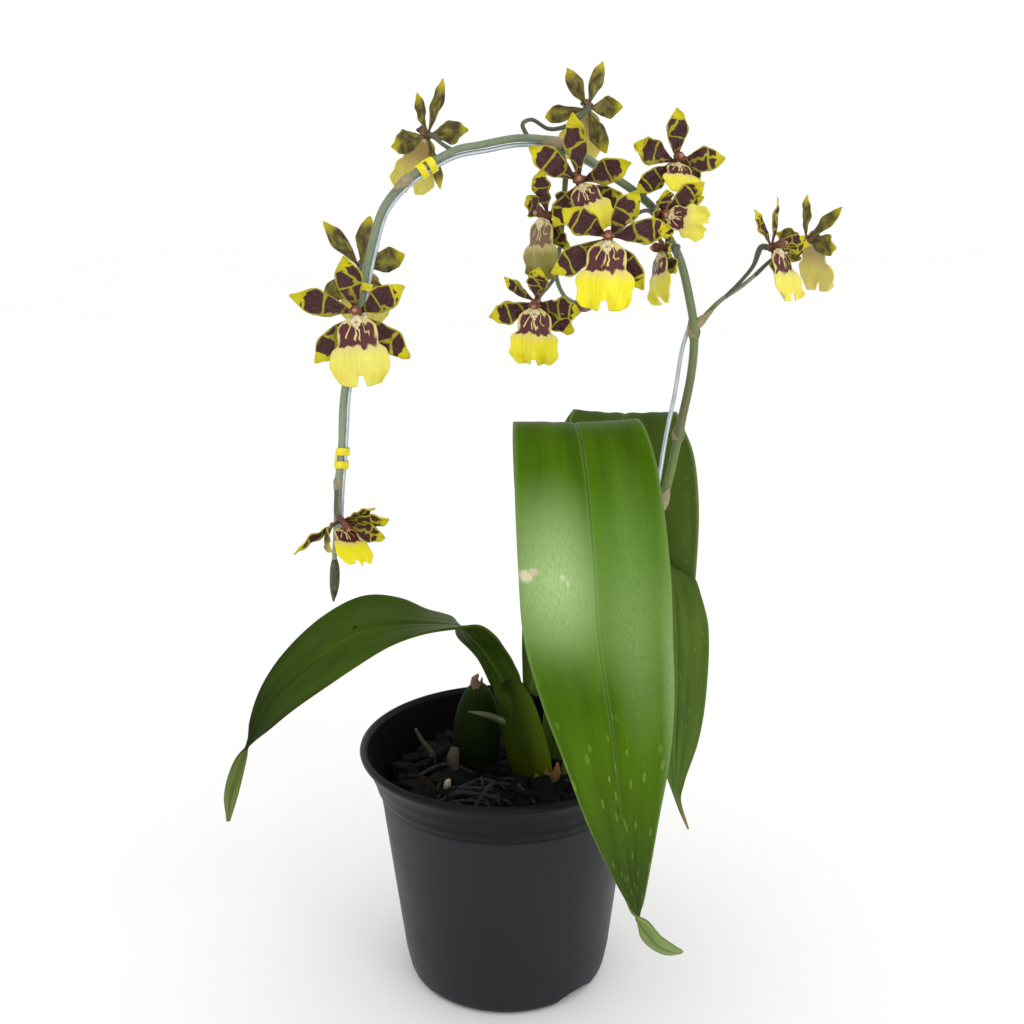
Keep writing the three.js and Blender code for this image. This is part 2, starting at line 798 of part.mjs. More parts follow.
function tepalsSolid(bloom) {
  const frame = bloomFrame(bloom);
  const inFrame = (points) => curveThrough(points.map((p) => vec(p).applyMatrix4(frame).toArray()));
  const hub = new THREE.SphereGeometry(hubRadius, 6, 3).applyMatrix4(frame);
  const opposite = degrees(bloom.lip[0] + 180);
  const columnPoints = [[0.4, 0.5], [1.5, 3.8], [2.1, 6.4]].map(([out, forward]) => [
    out * Math.sin(opposite),
    out * Math.cos(opposite),
    forward,
  ]);
  const column = tube(inFrame(columnPoints), [1.6, 1.3, 1.8], 2, 5);
  return joined([solidOf(hub), column, ...bloom.tepals.map((tepal) => tepalSolid(tepal, frame))]);
}

function pedicelSolid(bloom) {
  const frame = bloomFrame(bloom);
  const backs = [-5, -0.8 * hubRadius - clearance];
  const ends = backs.map((back) => vec([0, 0, back]).applyMatrix4(frame).toArray());
  const steps = bloom.pedicel.length + 2;
  return tube(curveThrough([...bloom.pedicel, ...ends]), [0.9, 0.8, 1.2], steps, 5);
}

function nodeSolid([t, length]) {
  const share = length / stemPath.getLength();
  const points = [t - share / 2, t, t + share / 2].map((s) => stemPath.getPointAt(s).toArray());
  const stem = alongStations(stemRadii, t);
  return tube(curveThrough(points), [stem + 0.5, stem + 0.8, stem + 0.2], 2, 6);
}

function spikeSolid() {
  return joined([
    tube(stemPath, stemRadii, stemSteps, 6),
    ...branches.map(({ points, radii, steps }) => tube(curveThrough(points), radii, steps, 6)),
    ...nodes.map(nodeSolid),
    tube(budPath, [1.1, 2.1, 1.9, 0.4], 5, 6),
    tube(hangingBudPath, [0.9, 2, 2.2, 0.8], 3, 6),
    ...blooms.map(pedicelSolid),
  ]);
}

function tieSolid(places) {
  const bands = places.map(ovalBand);
  if (places.length < 2) return bands[0];
  const middle = (places[0] + places[1]) / 2;
  const reach = alongStations(stemRadii, middle) + clearance + tie.thickness / 2 + 0.15;
  const tangent = stemPath.getTangentAt(middle);
  const stemAt = stemPath.getPointAt(middle);
  const outward = stemAt.clone().sub(besideStem(middle, 1, wireTurn(middle))).normalize();
  const centre = stemAt.clone().addScaledVector(outward, reach);
  const half = 2.6;
  const ends = [-half, half].map((d) => centre.clone().addScaledVector(tangent, d).toArray());
  return joined([...bands, tube(curveThrough([ends[0], centre.toArray(), ends[1]]), [0.4, 0.4], 2, 5)]);
}

// ---- growing medium ----
// Fills the pot; bark chunks stand out of its top, and bulbs, stem, wire and stick stand in plain holes.
function mediumSolid(standing) {
  const { wall, cornerRadius, cornerHeight, shoulderRadius, shoulderHeight, baseRadius } = pot;
  const inset = wall + clearance + 0.15;
  const radiusAt = (z) =>
    THREE.MathUtils.mapLinear(z, cornerHeight, shoulderHeight, cornerRadius, shoulderRadius) - inset;
  const profile = [
    [0, wall + clearance],
    [baseRadius - 2.5, wall + clearance],
    [baseRadius - 0.5, 5],
    [radiusAt(cornerHeight), cornerHeight],
    [radiusAt(medium.top - 2), medium.top - 2],
    [radiusAt(medium.top) - 2, medium.top],
    [0, medium.top],
  ].map(([r, z]) => new THREE.Vector2(r, z));
  const body = solidOf(new THREE.LatheGeometry(profile, medium.sides).rotateX(Math.PI / 2));
  const random = randomFrom(medium.seed);
  const chunks = [];
  for (let i = 0; i < medium.chunks; i++) {
    const angle = i * 2.39996;
    const distance = 44 * Math.sqrt((i + 0.5) / medium.chunks);
    const size = medium.chunkSize * (0.75 + 0.5 * random());
    const chunk = new THREE.IcosahedronGeometry(size, 0)
      .scale(1, 0.7, 0.6)
      .rotateX(random() * 3)
      .rotateY(random() * 3)
      .rotateZ(random() * 3)
      .translate(distance * Math.cos(angle), distance * Math.sin(angle), medium.top - 1 + 2.5 * random());
    chunks.push(solidOf(chunk));
  }
  return standing.reduce((left, next) => left.subtract(next), joined([body, ...chunks]));
}

const stickPath = curveThrough([[-33, 10, 92], [-34, 10, 99], [-38, 10, 105], [-41, 10, 111]]);
const wider = (path, radius, steps) => tube(path, [radius, radius], steps, 8);

// The hole round the foot of a stem or wire, a little deeper than the foot.
function foot(path, radius, share) {
  const points = [0, share / 2, share].map((t) => path.getPointAt(t));
  points[0].addScaledVector(path.getTangentAt(0), -1);
  return wider(curveThrough(points.map((p) => p.toArray())), radius, 3);
}

// ---- the plant, put together ----
const plant = new THREE.Group();

const oldBulbMade = oldBulbSolid();
const newBulbMade = newBulbSolid().subtract(bulbSolid(oldBulb, clearance));
const newBulbSeat = bulbSolid(newBulb, clearance);
const leafSolids = Object.entries(leaves).map(([name, leaf]) => [
  name,
  leafSolid(leaf).subtract(newBulbSeat),
]);
const wireMade = tube(wirePath, [wireRadius, wireRadius], wireSteps, 6);
const wireRoom = tube(wirePath, [wireRadius + clearance, wireRadius + clearance], wireSteps, 6);
const spikeMade = joined([spikeSolid()]).subtract(newBulbSeat).subtract(wireRoom);

const standing = [
  bulbSolid(oldBulb, clearance),
  newBulbSeat,
  tube(curveThrough([[18.4, -6.4, 92], [22.5, -9.5, 98], [23.2, -10.2, 104]]), [4, 3.3, 1.5], 3, 6),
  leafSolid(leaves.leaf_back, clearance + 0.1),
  leafSolid(leaves.leaf_right, clearance + 0.1),
  foot(stemPath, stemRadius.base + clearance + 0.2, 0.07),
  foot(wirePath, wireRadius + clearance + 0.2, 0.12),
  wider(stickPath, 1.9, 4),
];

plant.add(meshOf("pot", potSolid(), finishes.pot));
plant.add(meshOf("growing_medium", mediumSolid(standing), finishes.medium));
plant.add(meshOf("dry_stick", tube(stickPath, [1.3, 1.5, 1.2, 0.8], 4, 6), finishes.stick));
plant.add(meshOf("pseudobulb_old", oldBulbMade, finishes.oldBulb));
plant.add(meshOf("pseudobulb_new", newBulbMade, finishes.newBulb));
for (const [name, solid] of leafSolids) plant.add(meshOf(name, solid, finishes.leaf));
plant.add(meshOf("flower_spike", spikeMade, finishes.spike));
plant.add(meshOf("support_wire", wireMade, finishes.wire));
for (const [name, places] of Object.entries(ties)) plant.add(meshOf(name, tieSolid(places), finishes.tie));
blooms.forEach((bloom, i) => {
  const number = String(i + 1).padStart(2, "0");
  plant.add(meshOf(`bloom_${number}_tepals`, tepalsSolid(bloom), finishes.tepals));
  plant.add(meshOf(`bloom_${number}_lip`, lipSolid(bloom.lip, bloomFrame(bloom)), finishes.lip));
});

export default plant;
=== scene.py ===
# An oncidium orchid in flower in its black nursery pot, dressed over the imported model.
# Shapes are worked out in millimetres and turned to metres when a piece is finished.
import math
import random

import bmesh
import bpy
from mathutils import Matrix, Vector, noise


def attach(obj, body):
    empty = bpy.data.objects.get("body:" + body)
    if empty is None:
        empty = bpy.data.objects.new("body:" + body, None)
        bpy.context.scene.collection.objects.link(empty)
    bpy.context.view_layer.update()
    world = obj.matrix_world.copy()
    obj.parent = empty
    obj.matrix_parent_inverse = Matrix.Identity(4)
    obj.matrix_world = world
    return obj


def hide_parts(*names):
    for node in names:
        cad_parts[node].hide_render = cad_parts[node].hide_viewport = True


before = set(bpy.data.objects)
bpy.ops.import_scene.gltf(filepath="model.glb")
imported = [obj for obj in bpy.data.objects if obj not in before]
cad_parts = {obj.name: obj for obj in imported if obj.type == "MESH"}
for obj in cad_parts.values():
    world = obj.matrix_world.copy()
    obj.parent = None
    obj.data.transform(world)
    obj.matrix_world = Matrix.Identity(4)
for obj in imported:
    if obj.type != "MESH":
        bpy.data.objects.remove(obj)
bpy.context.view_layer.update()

scene = bpy.context.scene
mm = 0.001
goldenAngle = 2.39996  # radians: spreads chips evenly, as seeds in a sunflower


def linear(hexText):  # an sRGB hex value as linear red, green, blue and alpha
    parts = [int(hexText[i:i + 2], 16) / 255 for i in (1, 3, 5)]
    return tuple(p / 12.92 if p <= 0.04045 else ((p + 0.055) / 1.055) ** 2.4 for p in parts) + (1,)


def startMaterial(name, ior, shine=0.5, roughness=0.5, more=None):
    # A material with its constants straight on the shader's sockets. Returns what adds its nodes and what ends it.
    material = bpy.data.materials.new(name)
    material.use_nodes = True
    tree = material.node_tree
    shader = tree.nodes["Principled BSDF"]

    def fill(node, inputs):  # links each input to a node or socket, or sets its value
        for name, value in inputs.items():
            if isinstance(value, bpy.types.Node):
                value = value.outputs[2 if value.bl_idname == "ShaderNodeMix" else 0]
            if isinstance(value, bpy.types.NodeSocket):
                tree.links.new(value, node.inputs[name])
            else:
                node.inputs[name].default_value = linear(value) if isinstance(value, str) else value

    def add(kind, *numbered, span=(), to=(), ramp=(), **rest):
        # One node. Inputs come by number, after the operation where it has one, or by a name with a capital, span
        # and to are a range's limits, and what has a small letter is the node's own setting.
        node = tree.nodes.new("ShaderNode" + kind)
        if kind == "Mix":
            node.data_type = "RGBA"
        if kind.endswith("Math"):
            node.operation, *numbered = numbered
        for name, value in rest.items():
            if name[0].islower():
                setattr(node, name, value)
        if ramp:
            stops = node.color_ramp.elements
            colours = [linear(colour) for _, colour in ramp]
            stops[0].position, stops[1].position = ramp[0][0], ramp[-1][0]
            stops[0].color, stops[1].color = colours[0], colours[-1]
            for (place, _), colour in list(zip(ramp, colours))[1:-1]:
                stops.new(place).color = colour
        fill(node, dict(zip((0, 6, 7) if kind == "Mix" else (0, 1, 2), numbered)))
        fill(node, {name: value for name, value in rest.items() if name[0].isupper()})
        fill(node, dict(zip(("From Min", "From Max"), span)) | dict(zip(("To Min", "To Max"), to)))
        return node

    def finish(colour, *bumps, dullness=None):  # bumps lie one over another: a height, its strength and its distance
        links = {"Base Color": colour} if dullness is None else {"Base Color": colour, "Roughness": dullness}
        for height, strength, distance in bumps:
            under = {"Normal": links["Normal"]} if "Normal" in links else {}
            links["Normal"] = add("Bump", Height=height, Strength=strength, Distance=distance, **under)
        fill(shader, links)
        return material

    fill(shader, {"IOR": ior, "Specular IOR Level": shine, "Roughness": roughness, **(more or {})})
    return add, finish


def pieceUv(add):  # a piece's own places: the pair, across and along
    uv = add("UVMap", uv_map="UVMap")
    split = add("SeparateXYZ", uv)
    return uv, split.outputs["X"], split.outputs["Y"]


def clouds(add, size, detail, roughness=0.5):  # noise in clouds of some millimetres
    place = add("TexCoord").outputs["Object"]
    return add("TexNoise", place, Scale=1 / (size * mm), Detail=detail, Roughness=roughness)


def inCells(add, uv, size, cell, *shift):
    # Places counted in cells of some millimetres across and along, on a piece of some size, and moved on by shift.
    place = add("Mapping", uv, Scale=(size[0] / cell[0], size[1] / cell[1], 1.0))
    return add("VectorMath", "ADD", place, add("CombineXYZ", *shift)) if shift else place


def grains(add, uv, size, grain, detail, roughness=0.5):  # noise in grains as large as such a cell
    return add("TexNoise", inCells(add, uv, size, grain), Scale=1.0, Detail=detail, Roughness=roughness)


def pieceSeed(add):  # a number that is each petal's or chip's own
    return add("Attribute", attribute_name="seed").outputs["Fac"]


def stationAt(stations, t):  # the station before t, from 0 to 1 along them all, and the share of the way to the next
    place = min(max(t, 0.0), 1.0) * (len(stations) - 1)
    i = min(int(place), len(stations) - 2)
    return i, place - i


def curvePoint(points, t):  # a centripetal Catmull-Rom curve through the points, t from 0 to 1
    i, w = stationAt(points, t)
    b, c = points[i], points[i + 1]
    a = points[i - 1] if i else b * 2 - c
    d = points[i + 2] if i + 2 < len(points) else c * 2 - b
    before, here, after = [(q - p).length ** 0.5 for p, q in ((a, b), (b, c), (c, d))]
    startSlope = ((b - a) / before - (c - a) / (before + here) + (c - b) / here) * here
    endSlope = ((c - b) / here - (d - b) / (here + after) + (d - c) / after) * here
    bend = (c - b) * 3 - startSlope * 2 - endSlope
    return b + startSlope * w + bend * w ** 2 + ((b - c) * 2 + startSlope + endSlope) * w ** 3


def evenPath(points, steps):  # the curve through the points, as steps + 1 evenly spaced places
    points = [Vector(p) for p in points]
    count = 24 * len(points)
    fine = [curvePoint(points, i / count) for i in range(count + 1)]
    lengths = [0.0]
    for p, q in zip(fine, fine[1:]):
        lengths.append(lengths[-1] + (q - p).length)
    path, j = [], 0
    for i in range(steps + 1):
        goal = lengths[-1] * i / steps
        while j < len(fine) - 2 and lengths[j + 1] < goal:
            j += 1
        path.append(fine[j].lerp(fine[j + 1], (goal - lengths[j]) / (lengths[j + 1] - lengths[j])))
    return path


def alongPath(path, t):
    i, w = stationAt(path, t)
    return path[i].lerp(path[i + 1], w)


def directionAt(path, t):
    return (alongPath(path, t + 0.5 / len(path)) - alongPath(path, t - 0.5 / len(path))).normalized()


def alongStations(values, t):  # a value from evenly spaced stations, joined by straight lines
    i, w = stationAt(values, t)
    return values[i] + (values[i + 1] - values[i]) * w


def smoothStations(values, t):  # the same values joined by one smooth curve
    i, w = stationAt(values, t)
    before, here, there, after = values[max(i - 1, 0)], values[i], values[i + 1], values[min(i + 2, len(values) - 1)]
    square, cube = 2 * before - 5 * here + 4 * there - after, 3 * here - before - 3 * there + after
    return here + 0.5 * w * (there - before + w * (square + w * cube))


def smoothStep(low, high, x):
    t = min(max((x - low) / (high - low), 0.0), 1.0)
    return t * t * (3 - 2 * t)


def newShape():
    shape = bmesh.new()
    shape.loops.layers.uv.new("UVMap")
    shape.verts.layers.float.new("seed")
    return shape


def addSheet(shape, columns, rows, surfaceAt, finish=0, seed=0.0, closed=False, flip=False):
    # A grid whose points go to surfaceAt(u, v), u from -1 to 1 across and v from 0 to 1 along.
    made = bmesh.ops.create_grid(shape, x_segments=columns, y_segments=rows, size=0.5)["verts"]
    uvLayer, seedLayer = shape.loops.layers.uv["UVMap"], shape.verts.layers.float["seed"]
    spots = {vert: (vert.co.x * 2, vert.co.y + 0.5) for vert in made}
    faces = list({face for vert in made for face in vert.link_faces})
    for face in faces:
        face.material_index = finish
        for loop in face.loops:
            u, v = spots[loop.vert]
            loop[uvLayer].uv = (u / 2 + 0.5, v)
    for vert, (u, v) in spots.items():
        vert.co = surfaceAt(u, v)
        vert[seedLayer] = seed
    if flip:
        bmesh.ops.reverse_faces(shape, faces=faces)
    if closed:  # the two long sides meet, and the ends are filled
        bmesh.ops.remove_doubles(shape, verts=made, dist=1e-4)
        rim = [edge for vert in made if vert.is_valid for edge in vert.link_edges if edge.is_boundary]
        for face in bmesh.ops.holes_fill(shape, edges=list(set(rim)), sides=0)["faces"]:
            face.material_index = finish
    return [vert for vert in made if vert.is_valid]


def addTube(shape, path, radiusAt, sides, finish=0, ripple=None):  # a round shape along even places
    steps = len(path) - 1
    tangents = [(path[min(i + 1, steps)] - path[max(i - 1, 0)]).normalized() for i in range(steps + 1)]
    normal = tangents[0].cross(Vector((0, 0, 1)) if abs(tangents[0].z) < 0.8 else Vector((0, 1, 0))).normalized()
    normals = [normal]
    for before, here in zip(tangents, tangents[1:]):
        normals.append(before.rotation_difference(here) @ normals[-1])

    def surfaceAt(u, v):
        i = round(v * steps)
        angle = math.pi * (u + 1)
        radius = radiusAt(v) if ripple is None else radiusAt(v) * ripple(angle, v)
        sideways = tangents[i].cross(normals[i])
        return path[i] + (normals[i] * math.cos(angle) + sideways * math.sin(angle)) * radius

    addSheet(shape, sides, steps, surfaceAt, finish, closed=True)


def addRod(shape, points, steps, radii, sides, finish=0, ripple=None):  # a tube through points, by its radii
    addTube(shape, evenPath(points, steps), lambda t: alongStations(radii, t), sides, finish, ripple=ripple)


def roughened(height, around, along, shift=0):  # an uneven skin for a rod: how high, and how fine both ways
    return lambda angle, v: 1 + height * noise.noise(
        (math.cos(angle) * around + shift, math.sin(angle) * around, v * along))


def addBall(shape, centre, sizes, turn, finish=0, sides=12):  # an ellipsoid
    made = bmesh.ops.create_uvsphere(shape, u_segments=sides, v_segments=max(sides * 2 // 3, 4), radius=1)["verts"]
    for vert in made:
        vert.co = centre + turn @ Vector([c * s for c, s in zip(vert.co, sizes)])
    for face in {face for vert in made for face in vert.link_faces}:
        face.material_index = finish


def turnedProfile(places, steps):  # a new shape: places of radius and height, turned round the Z axis
    shape = newShape()
    profile = [shape.verts.new((r, 0, z)) for r, z in places]
    edges = [shape.edges.new(pair) for pair in zip(profile, profile[1:])]
    bmesh.ops.spin(
        shape, geom=profile + edges, axis=(0, 0, 1), cent=(0, 0, 0), angle=2 * math.pi, steps=steps, use_merge=True,
    )
    bmesh.ops.remove_doubles(shape, verts=shape.verts, dist=1e-3)
    bmesh.ops.recalc_face_normals(shape, faces=shape.faces)
    return shape


def addObject(name, shape, scale=mm):  # the shape as an object of the scene, in metres
    bmesh.ops.scale(shape, vec=(scale, scale, scale), verts=shape.verts)
    data = bpy.data.meshes.new(name)
    shape.to_mesh(data)
    shape.free()
    item = bpy.data.objects.new(name, data)
    scene.collection.objects.link(item)
    return item


def pieceName(node):  # leafLeft for leaf_left
    first, second = node.split("_")
    return first + second.title()


def finishPiece(name, shape, finishes, nodes=(), thickness=0.0, sharp=None):
    piece = addObject(name, shape)
    data = piece.data
    for material in finishes:
        data.materials.append(material)
    data.polygons.foreach_set("use_smooth", [True] * len(data.polygons))
    if sharp:
        data.set_sharp_from_angle(angle=math.radians(sharp))
    if thickness:  # the back takes the next material
        wall = piece.modifiers.new("wall", "SOLIDIFY")
        wall.thickness = thickness * mm
        wall.offset = 0
        wall.use_quality_normals = True
        wall.material_offset = 1
    if nodes:
        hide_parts(*nodes)
    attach(piece, "root")
    return piece


leafSize, tepalSize, lipSize = (55, 240), (9.5, 23), (20, 26)  # usual sizes across and along, for the patterns


def mouldedPlastic(name, shine, low, high, cloudSize, detail, dullness, peelStrength):
    # Injection-moulded black polypropylene: a satin skin with an orange peel of about 1 mm and dull scuffs.
    add, finish = startMaterial(name, 1.49, shine)
    peel = clouds(add, 1.1, 2.0)
    cloud = clouds(add, cloudSize, detail, 0.6)
    colour = add("ValToRGB", cloud, ramp=[(0.3, low), (0.72, high)])
    dull = add("MapRange", cloud, span=(0.3, 0.75), to=dullness)
    return finish(colour, (peel, peelStrength, 0.0002), dullness=dull)


def dustAndShadePlastic():
    # The same plastic inside the pot: a film of fine peat dust leaves it matt; its nearly black colour is partly
    # painted shade.
    add, finish = startMaterial("dustAndShadePolypropylene", 1.49, 0.05, 0.8)
    dust = clouds(add, 9, 6.0, 0.65)
    # nearly black: partly dust, partly painted shade for the inside of the pot
    colour = add("ValToRGB", dust, ramp=[(0.35, "#050607"), (0.75, "#0d0c0b")])
    return finish(colour, (dust, 0.15, 0.0003))


def barkChips():
    # Composted pine bark and charcoal: rough, fibrous, nearly black, some chips browner.
    add, finish = startMaterial("compostedBark", 1.45, 0.1, 0.85)
    seed = pieceSeed(add)
    fibre = clouds(add, 1.6, 6.0, 0.7)
    dark = add("ValToRGB", fibre, ramp=[(0.3, "#050506"), (0.55, "#0e0f11"), (0.75, "#232528")])
    brown = add("ValToRGB", fibre, ramp=[(0.3, "#0f0b08"), (0.6, "#241b12"), (0.8, "#40301f")])
    share = add("MapRange", seed, span=(0.85, 0.97))
    colour = add("Mix", share, dark, brown)
    return finish(colour, (fibre, 0.8, 0.0008))


def driedWood(name, low, high):
    # A dried twig or root skin: matt, with fibres along it.
    add, finish = startMaterial(name, 1.45, roughness=0.78)
    uv, _, _ = pieceUv(add)
    fibre = grains(add, uv, (22, 5), (1, 1), 5.0, 0.65)  # 22 fibres round it
    colour = add("ValToRGB", fibre, ramp=[(0.3, low), (0.7, high)])
    return finish(colour, (fibre, 0.5, 0.0003))


def bulbSkin(name, stops, paintedShadeLevel):
    # A pseudobulb's waxy cuticle: satin green, streaked along its ribs, `stops` from base to apex. It holds painted
    # shade and light: its back and left side are darkened by the last number, and its front brightens to the right.
    add, finish = startMaterial(name, 1.45, 0.05)
    uv, across, along = pieceUv(add)
    fibre = grains(add, uv, (34, 5), (1, 1), 4.0, 0.6)  # 34 streaks round it
    ground = add("ValToRGB", along, ramp=stops)
    shade = add("MapRange", fibre, span=(0.3, 0.7), to=(0.86, 1.12))
    streaked = add("VectorMath", "MULTIPLY", ground, shade)
    # painted shade on the back and left, painted light brightening the front toward the right
    paintedSideShading = add("MapRange", across, span=(0.76, 0.95), to=(paintedShadeLevel, 1.25))
    colour = add("VectorMath", "MULTIPLY", streaked, paintedSideShading)
    rough = add("MapRange", fibre, to=(0.45, 0.65))
    return finish(colour, (fibre, 0.25, 0.0004), dullness=rough)


def leafSkin(name, stops, rib, edge, marks, pimples):
    # A leathery leaf face: waxy cuticle over parallel veins about 1 mm apart, so light breaks into fine lengthwise
    # grain. `stops` colour it from base to tip, `rib` and `edge` are the shares of the midrib's line and of the pale
    # margin, and `pimples` is the share of the small raised rings on the outer half. Each mark is a painted sheen (a
    # painted highlight), a speck or a scar.
    add, finish = startMaterial(name, 1.46, 0.045)
    uv, across, along = pieceUv(add)
    vein = grains(add, uv, leafSize, (1.2, 16), 3.0, 0.55)
    grain = grains(add, uv, leafSize, (0.32, 1.1), 3.0, 0.6)
    cloud = grains(add, uv, leafSize, (9, 26), 4.0)
    ground = add("ValToRGB", along, ramp=stops)
    shade = add("MapRange", vein, span=(0.32, 0.68), to=(0.93, 1.07))
    tone = add("MapRange", cloud, span=(0.3, 0.7), to=(0.8, 1.2))
    fine = add("MapRange", grain, span=(0.3, 0.7), to=(0.93, 1.07))
    shades = add("Math", "MULTIPLY", add("Math", "MULTIPLY", shade, tone), fine)
    green = add("VectorMath", "MULTIPLY", ground, shades)
    spread = add("Math", "ABSOLUTE", add("Math", "SUBTRACT", across, 0.5))
    # The midrib: a furrow 0.8 mm wide between two paler lips, and the thin pale margin.
    beside = add("MapRange", spread, span=(0.035, 0.055), to=(0.3 * rib, 0.0))
    lipped = add("Mix", beside, green, "#8aa75c")
    furrow = add("MapRange", spread, span=(0.018, 0.032), to=(rib, 0.0))
    ribbed = add("Mix", furrow, lipped, "#22380a")
    onEdge = add("MapRange", spread, span=(0.478, 0.495), to=(0.0, edge))
    colour = add("Mix", onEdge, ribbed, "#8ca860")
    # the fine grain breaks up each painted sheen
    paintedSheenGrain = add("MapRange", grain, span=(0.36, 0.6), to=(0.55, 1.0))
    for centre, size, tint, share, soft in marks:
        away = add("VectorMath", "SUBTRACT", uv, (centre[0], centre[1], 0))
        sized = add("VectorMath", "MULTIPLY", away, (leafSize[0] / size[0], leafSize[1] / size[1], 0))
        far = add("VectorMath", "LENGTH", sized).outputs["Value"]
        isPaintedSheen = soft > 0.5  # a soft mark is a painted sheen: it fades out smoothly and lies on the grain's crests, and a scar is frayed
        wobble = 0.4 if isPaintedSheen else 1.8
        reach = add("Math", "MULTIPLY_ADD", grain, wobble, far)
        limit = 0.8 + 0.5 * wobble
        limits = (limit - soft, limit + 0.2 * soft)
        spot = add("MapRange", reach, span=limits, to=(share, 0.0), interpolation_type="SMOOTHSTEP")
        if isPaintedSheen:
            spot = add("Math", "MULTIPLY", spot, paintedSheenGrain)
        colour = add("Mix", spot, colour, tint)
    if pimples:
        dots = add("TexVoronoi", inCells(add, uv, leafSize, (8, 9)), Scale=1.0, voronoi_dimensions="2D")
        ring = add("Math", "ABSOLUTE", add("Math", "SUBTRACT", dots, 0.06))
        dot = add("MapRange", ring, span=(0.01, 0.06), to=(pimples, 0.0))
        shown = add("Math", "MULTIPLY", dot, add("MapRange", along, span=(0.52, 0.62)))
        colour = add("Mix", shown, colour, "#8aa04a")
    rough = add("MapRange", grain, to=(0.36, 0.56))
    return finish(colour, (grain, 0.2, 0.00015), (vein, 0.3, 0.0003), dullness=rough)


def stemSkin():
    # A flower spike's waxy bloom: green below and grey-green above, with fine flecks and purple-brown flushes.
    add, finish = startMaterial("waxyStem", 1.45, 0.4, 0.4)
    _, _, along = pieceUv(add)
    fleck, flush = clouds(add, 1.4, 3.0), clouds(add, 30, 2.0)
    green = add("ValToRGB", along, ramp=[
        (0.0, "#56632f"), (0.35, "#66763f"), (0.5, "#6f7b5f"), (0.8, "#7b876c"), (1.0, "#8b9478"),
    ])
    tone = add("MapRange", fleck, span=(0.3, 0.7), to=(0.9, 1.1))
    toned = add("VectorMath", "MULTIPLY", green, tone)
    share = add("MapRange", flush, span=(0.52, 0.72), to=(0.0, 0.5))
    colour = add("Mix", share, toned, "#5f5444")
    return finish(colour, (fleck, 0.1, 0.0002))


def plainSkin(name, low, high, grainSize, roughness, bumpHeight=0.0002, more=None):
    # A small smooth part of the plant or its supports: two close tones in soft clouds of grainSize millimetres.
    add, finish = startMaterial(name, 1.48, roughness=roughness, more=more)
    cloud = clouds(add, grainSize, 3.0)
    colour = add("ValToRGB", cloud, ramp=[(0.35, low), (0.65, high)])
    return finish(colour, (cloud, 0.3, bumpHeight))


def tepalFace():
    # The upper skin of a tepal: velvety cells in chestnut blotches, parted by thin yellow lines, with a yellow
    # margin and tip. The blotches are about 7 mm long and nearly as wide as the tepal.
    add, finish = startMaterial("tepalFace", 1.42, 0.3)
    uv, across, along = pieceUv(add)
    seed = pieceSeed(add)
    placed = inCells(add, uv, tepalSize, (13, 7), add("Math", "MULTIPLY", seed, 1.37), seed, seed)
    warp = add("TexNoise", placed, Scale=2.6, Detail=1.5)
    centred = add("VectorMath", "SUBTRACT", warp.outputs["Color"], (0.5, 0.5, 0.5))
    pushed = add("VectorMath", "SCALE", centred, Scale=0.42)
    warped = add("VectorMath", "ADD", placed, pushed)
    net = add("TexVoronoi", warped, Scale=1.0, Randomness=0.6, feature="DISTANCE_TO_EDGE", voronoi_dimensions="2D")
    inCell = add("MapRange", net, span=(0.04, 0.085))
    spread = add("Math", "ABSOLUTE", add("Math", "SUBTRACT", across, 0.5))
    inside = add("MapRange", add("Math", "MULTIPLY_ADD", warp, 0.12, spread), span=(0.52, 0.49))
    beforeTip = add("MapRange", add("Math", "MULTIPLY_ADD", warp, 0.3, along), span=(0.97, 0.95))
    blotch = add("Math", "MULTIPLY", add("Math", "MULTIPLY", inCell, inside), beforeTip)
    grain = grains(add, uv, tepalSize, (0.5, 2.5), 3.0)
    brown = add("ValToRGB", grain, ramp=[(0.3, "#30181a"), (0.55, "#432424"), (0.75, "#5a3532")])
    yellow = add("ValToRGB", along, ramp=[
        (0.0, "#6f5a1e"), (0.3, "#8c8322"), (0.7, "#a69d1c"), (0.85, "#c6bb12"), (1.0, "#b3a914"),
    ])
    colour = add("Mix", blotch, yellow, brown)
    atBase = add("MapRange", along, span=(0.03, 0.16), to=(0.85, 0.0))
    based = add("Mix", atBase, colour, "#4f2a1a")
    return finish(based, (grain, 0.3, 0.0002))


def tepalBack():
    # The outer skin of a tepal: olive with brown showing through and a yellow tip.
    add, finish = startMaterial("tepalBack", 1.42, 0.3, 0.48)
    uv, _, along = pieceUv(add)
    seed = pieceSeed(add)
    cloud = add("TexNoise", inCells(add, uv, tepalSize, (5, 7), seed, seed, 0.0), Scale=1.4, Detail=3.0)
    grain = grains(add, uv, tepalSize, (0.6, 5), 2.0)
    blotch = add("ValToRGB", cloud, ramp=[(0.36, "#453622"), (0.5, "#605826"), (0.66, "#827c2c")])
    tip = add("MapRange", along, span=(0.72, 0.9))
    colour = add("Mix", tip, blotch, "#b3a61c")
    return finish(colour, (grain, 0.3, 0.0002))


thinTissue = {"Subsurface Weight": 0.15, "Subsurface Scale": 0.002}


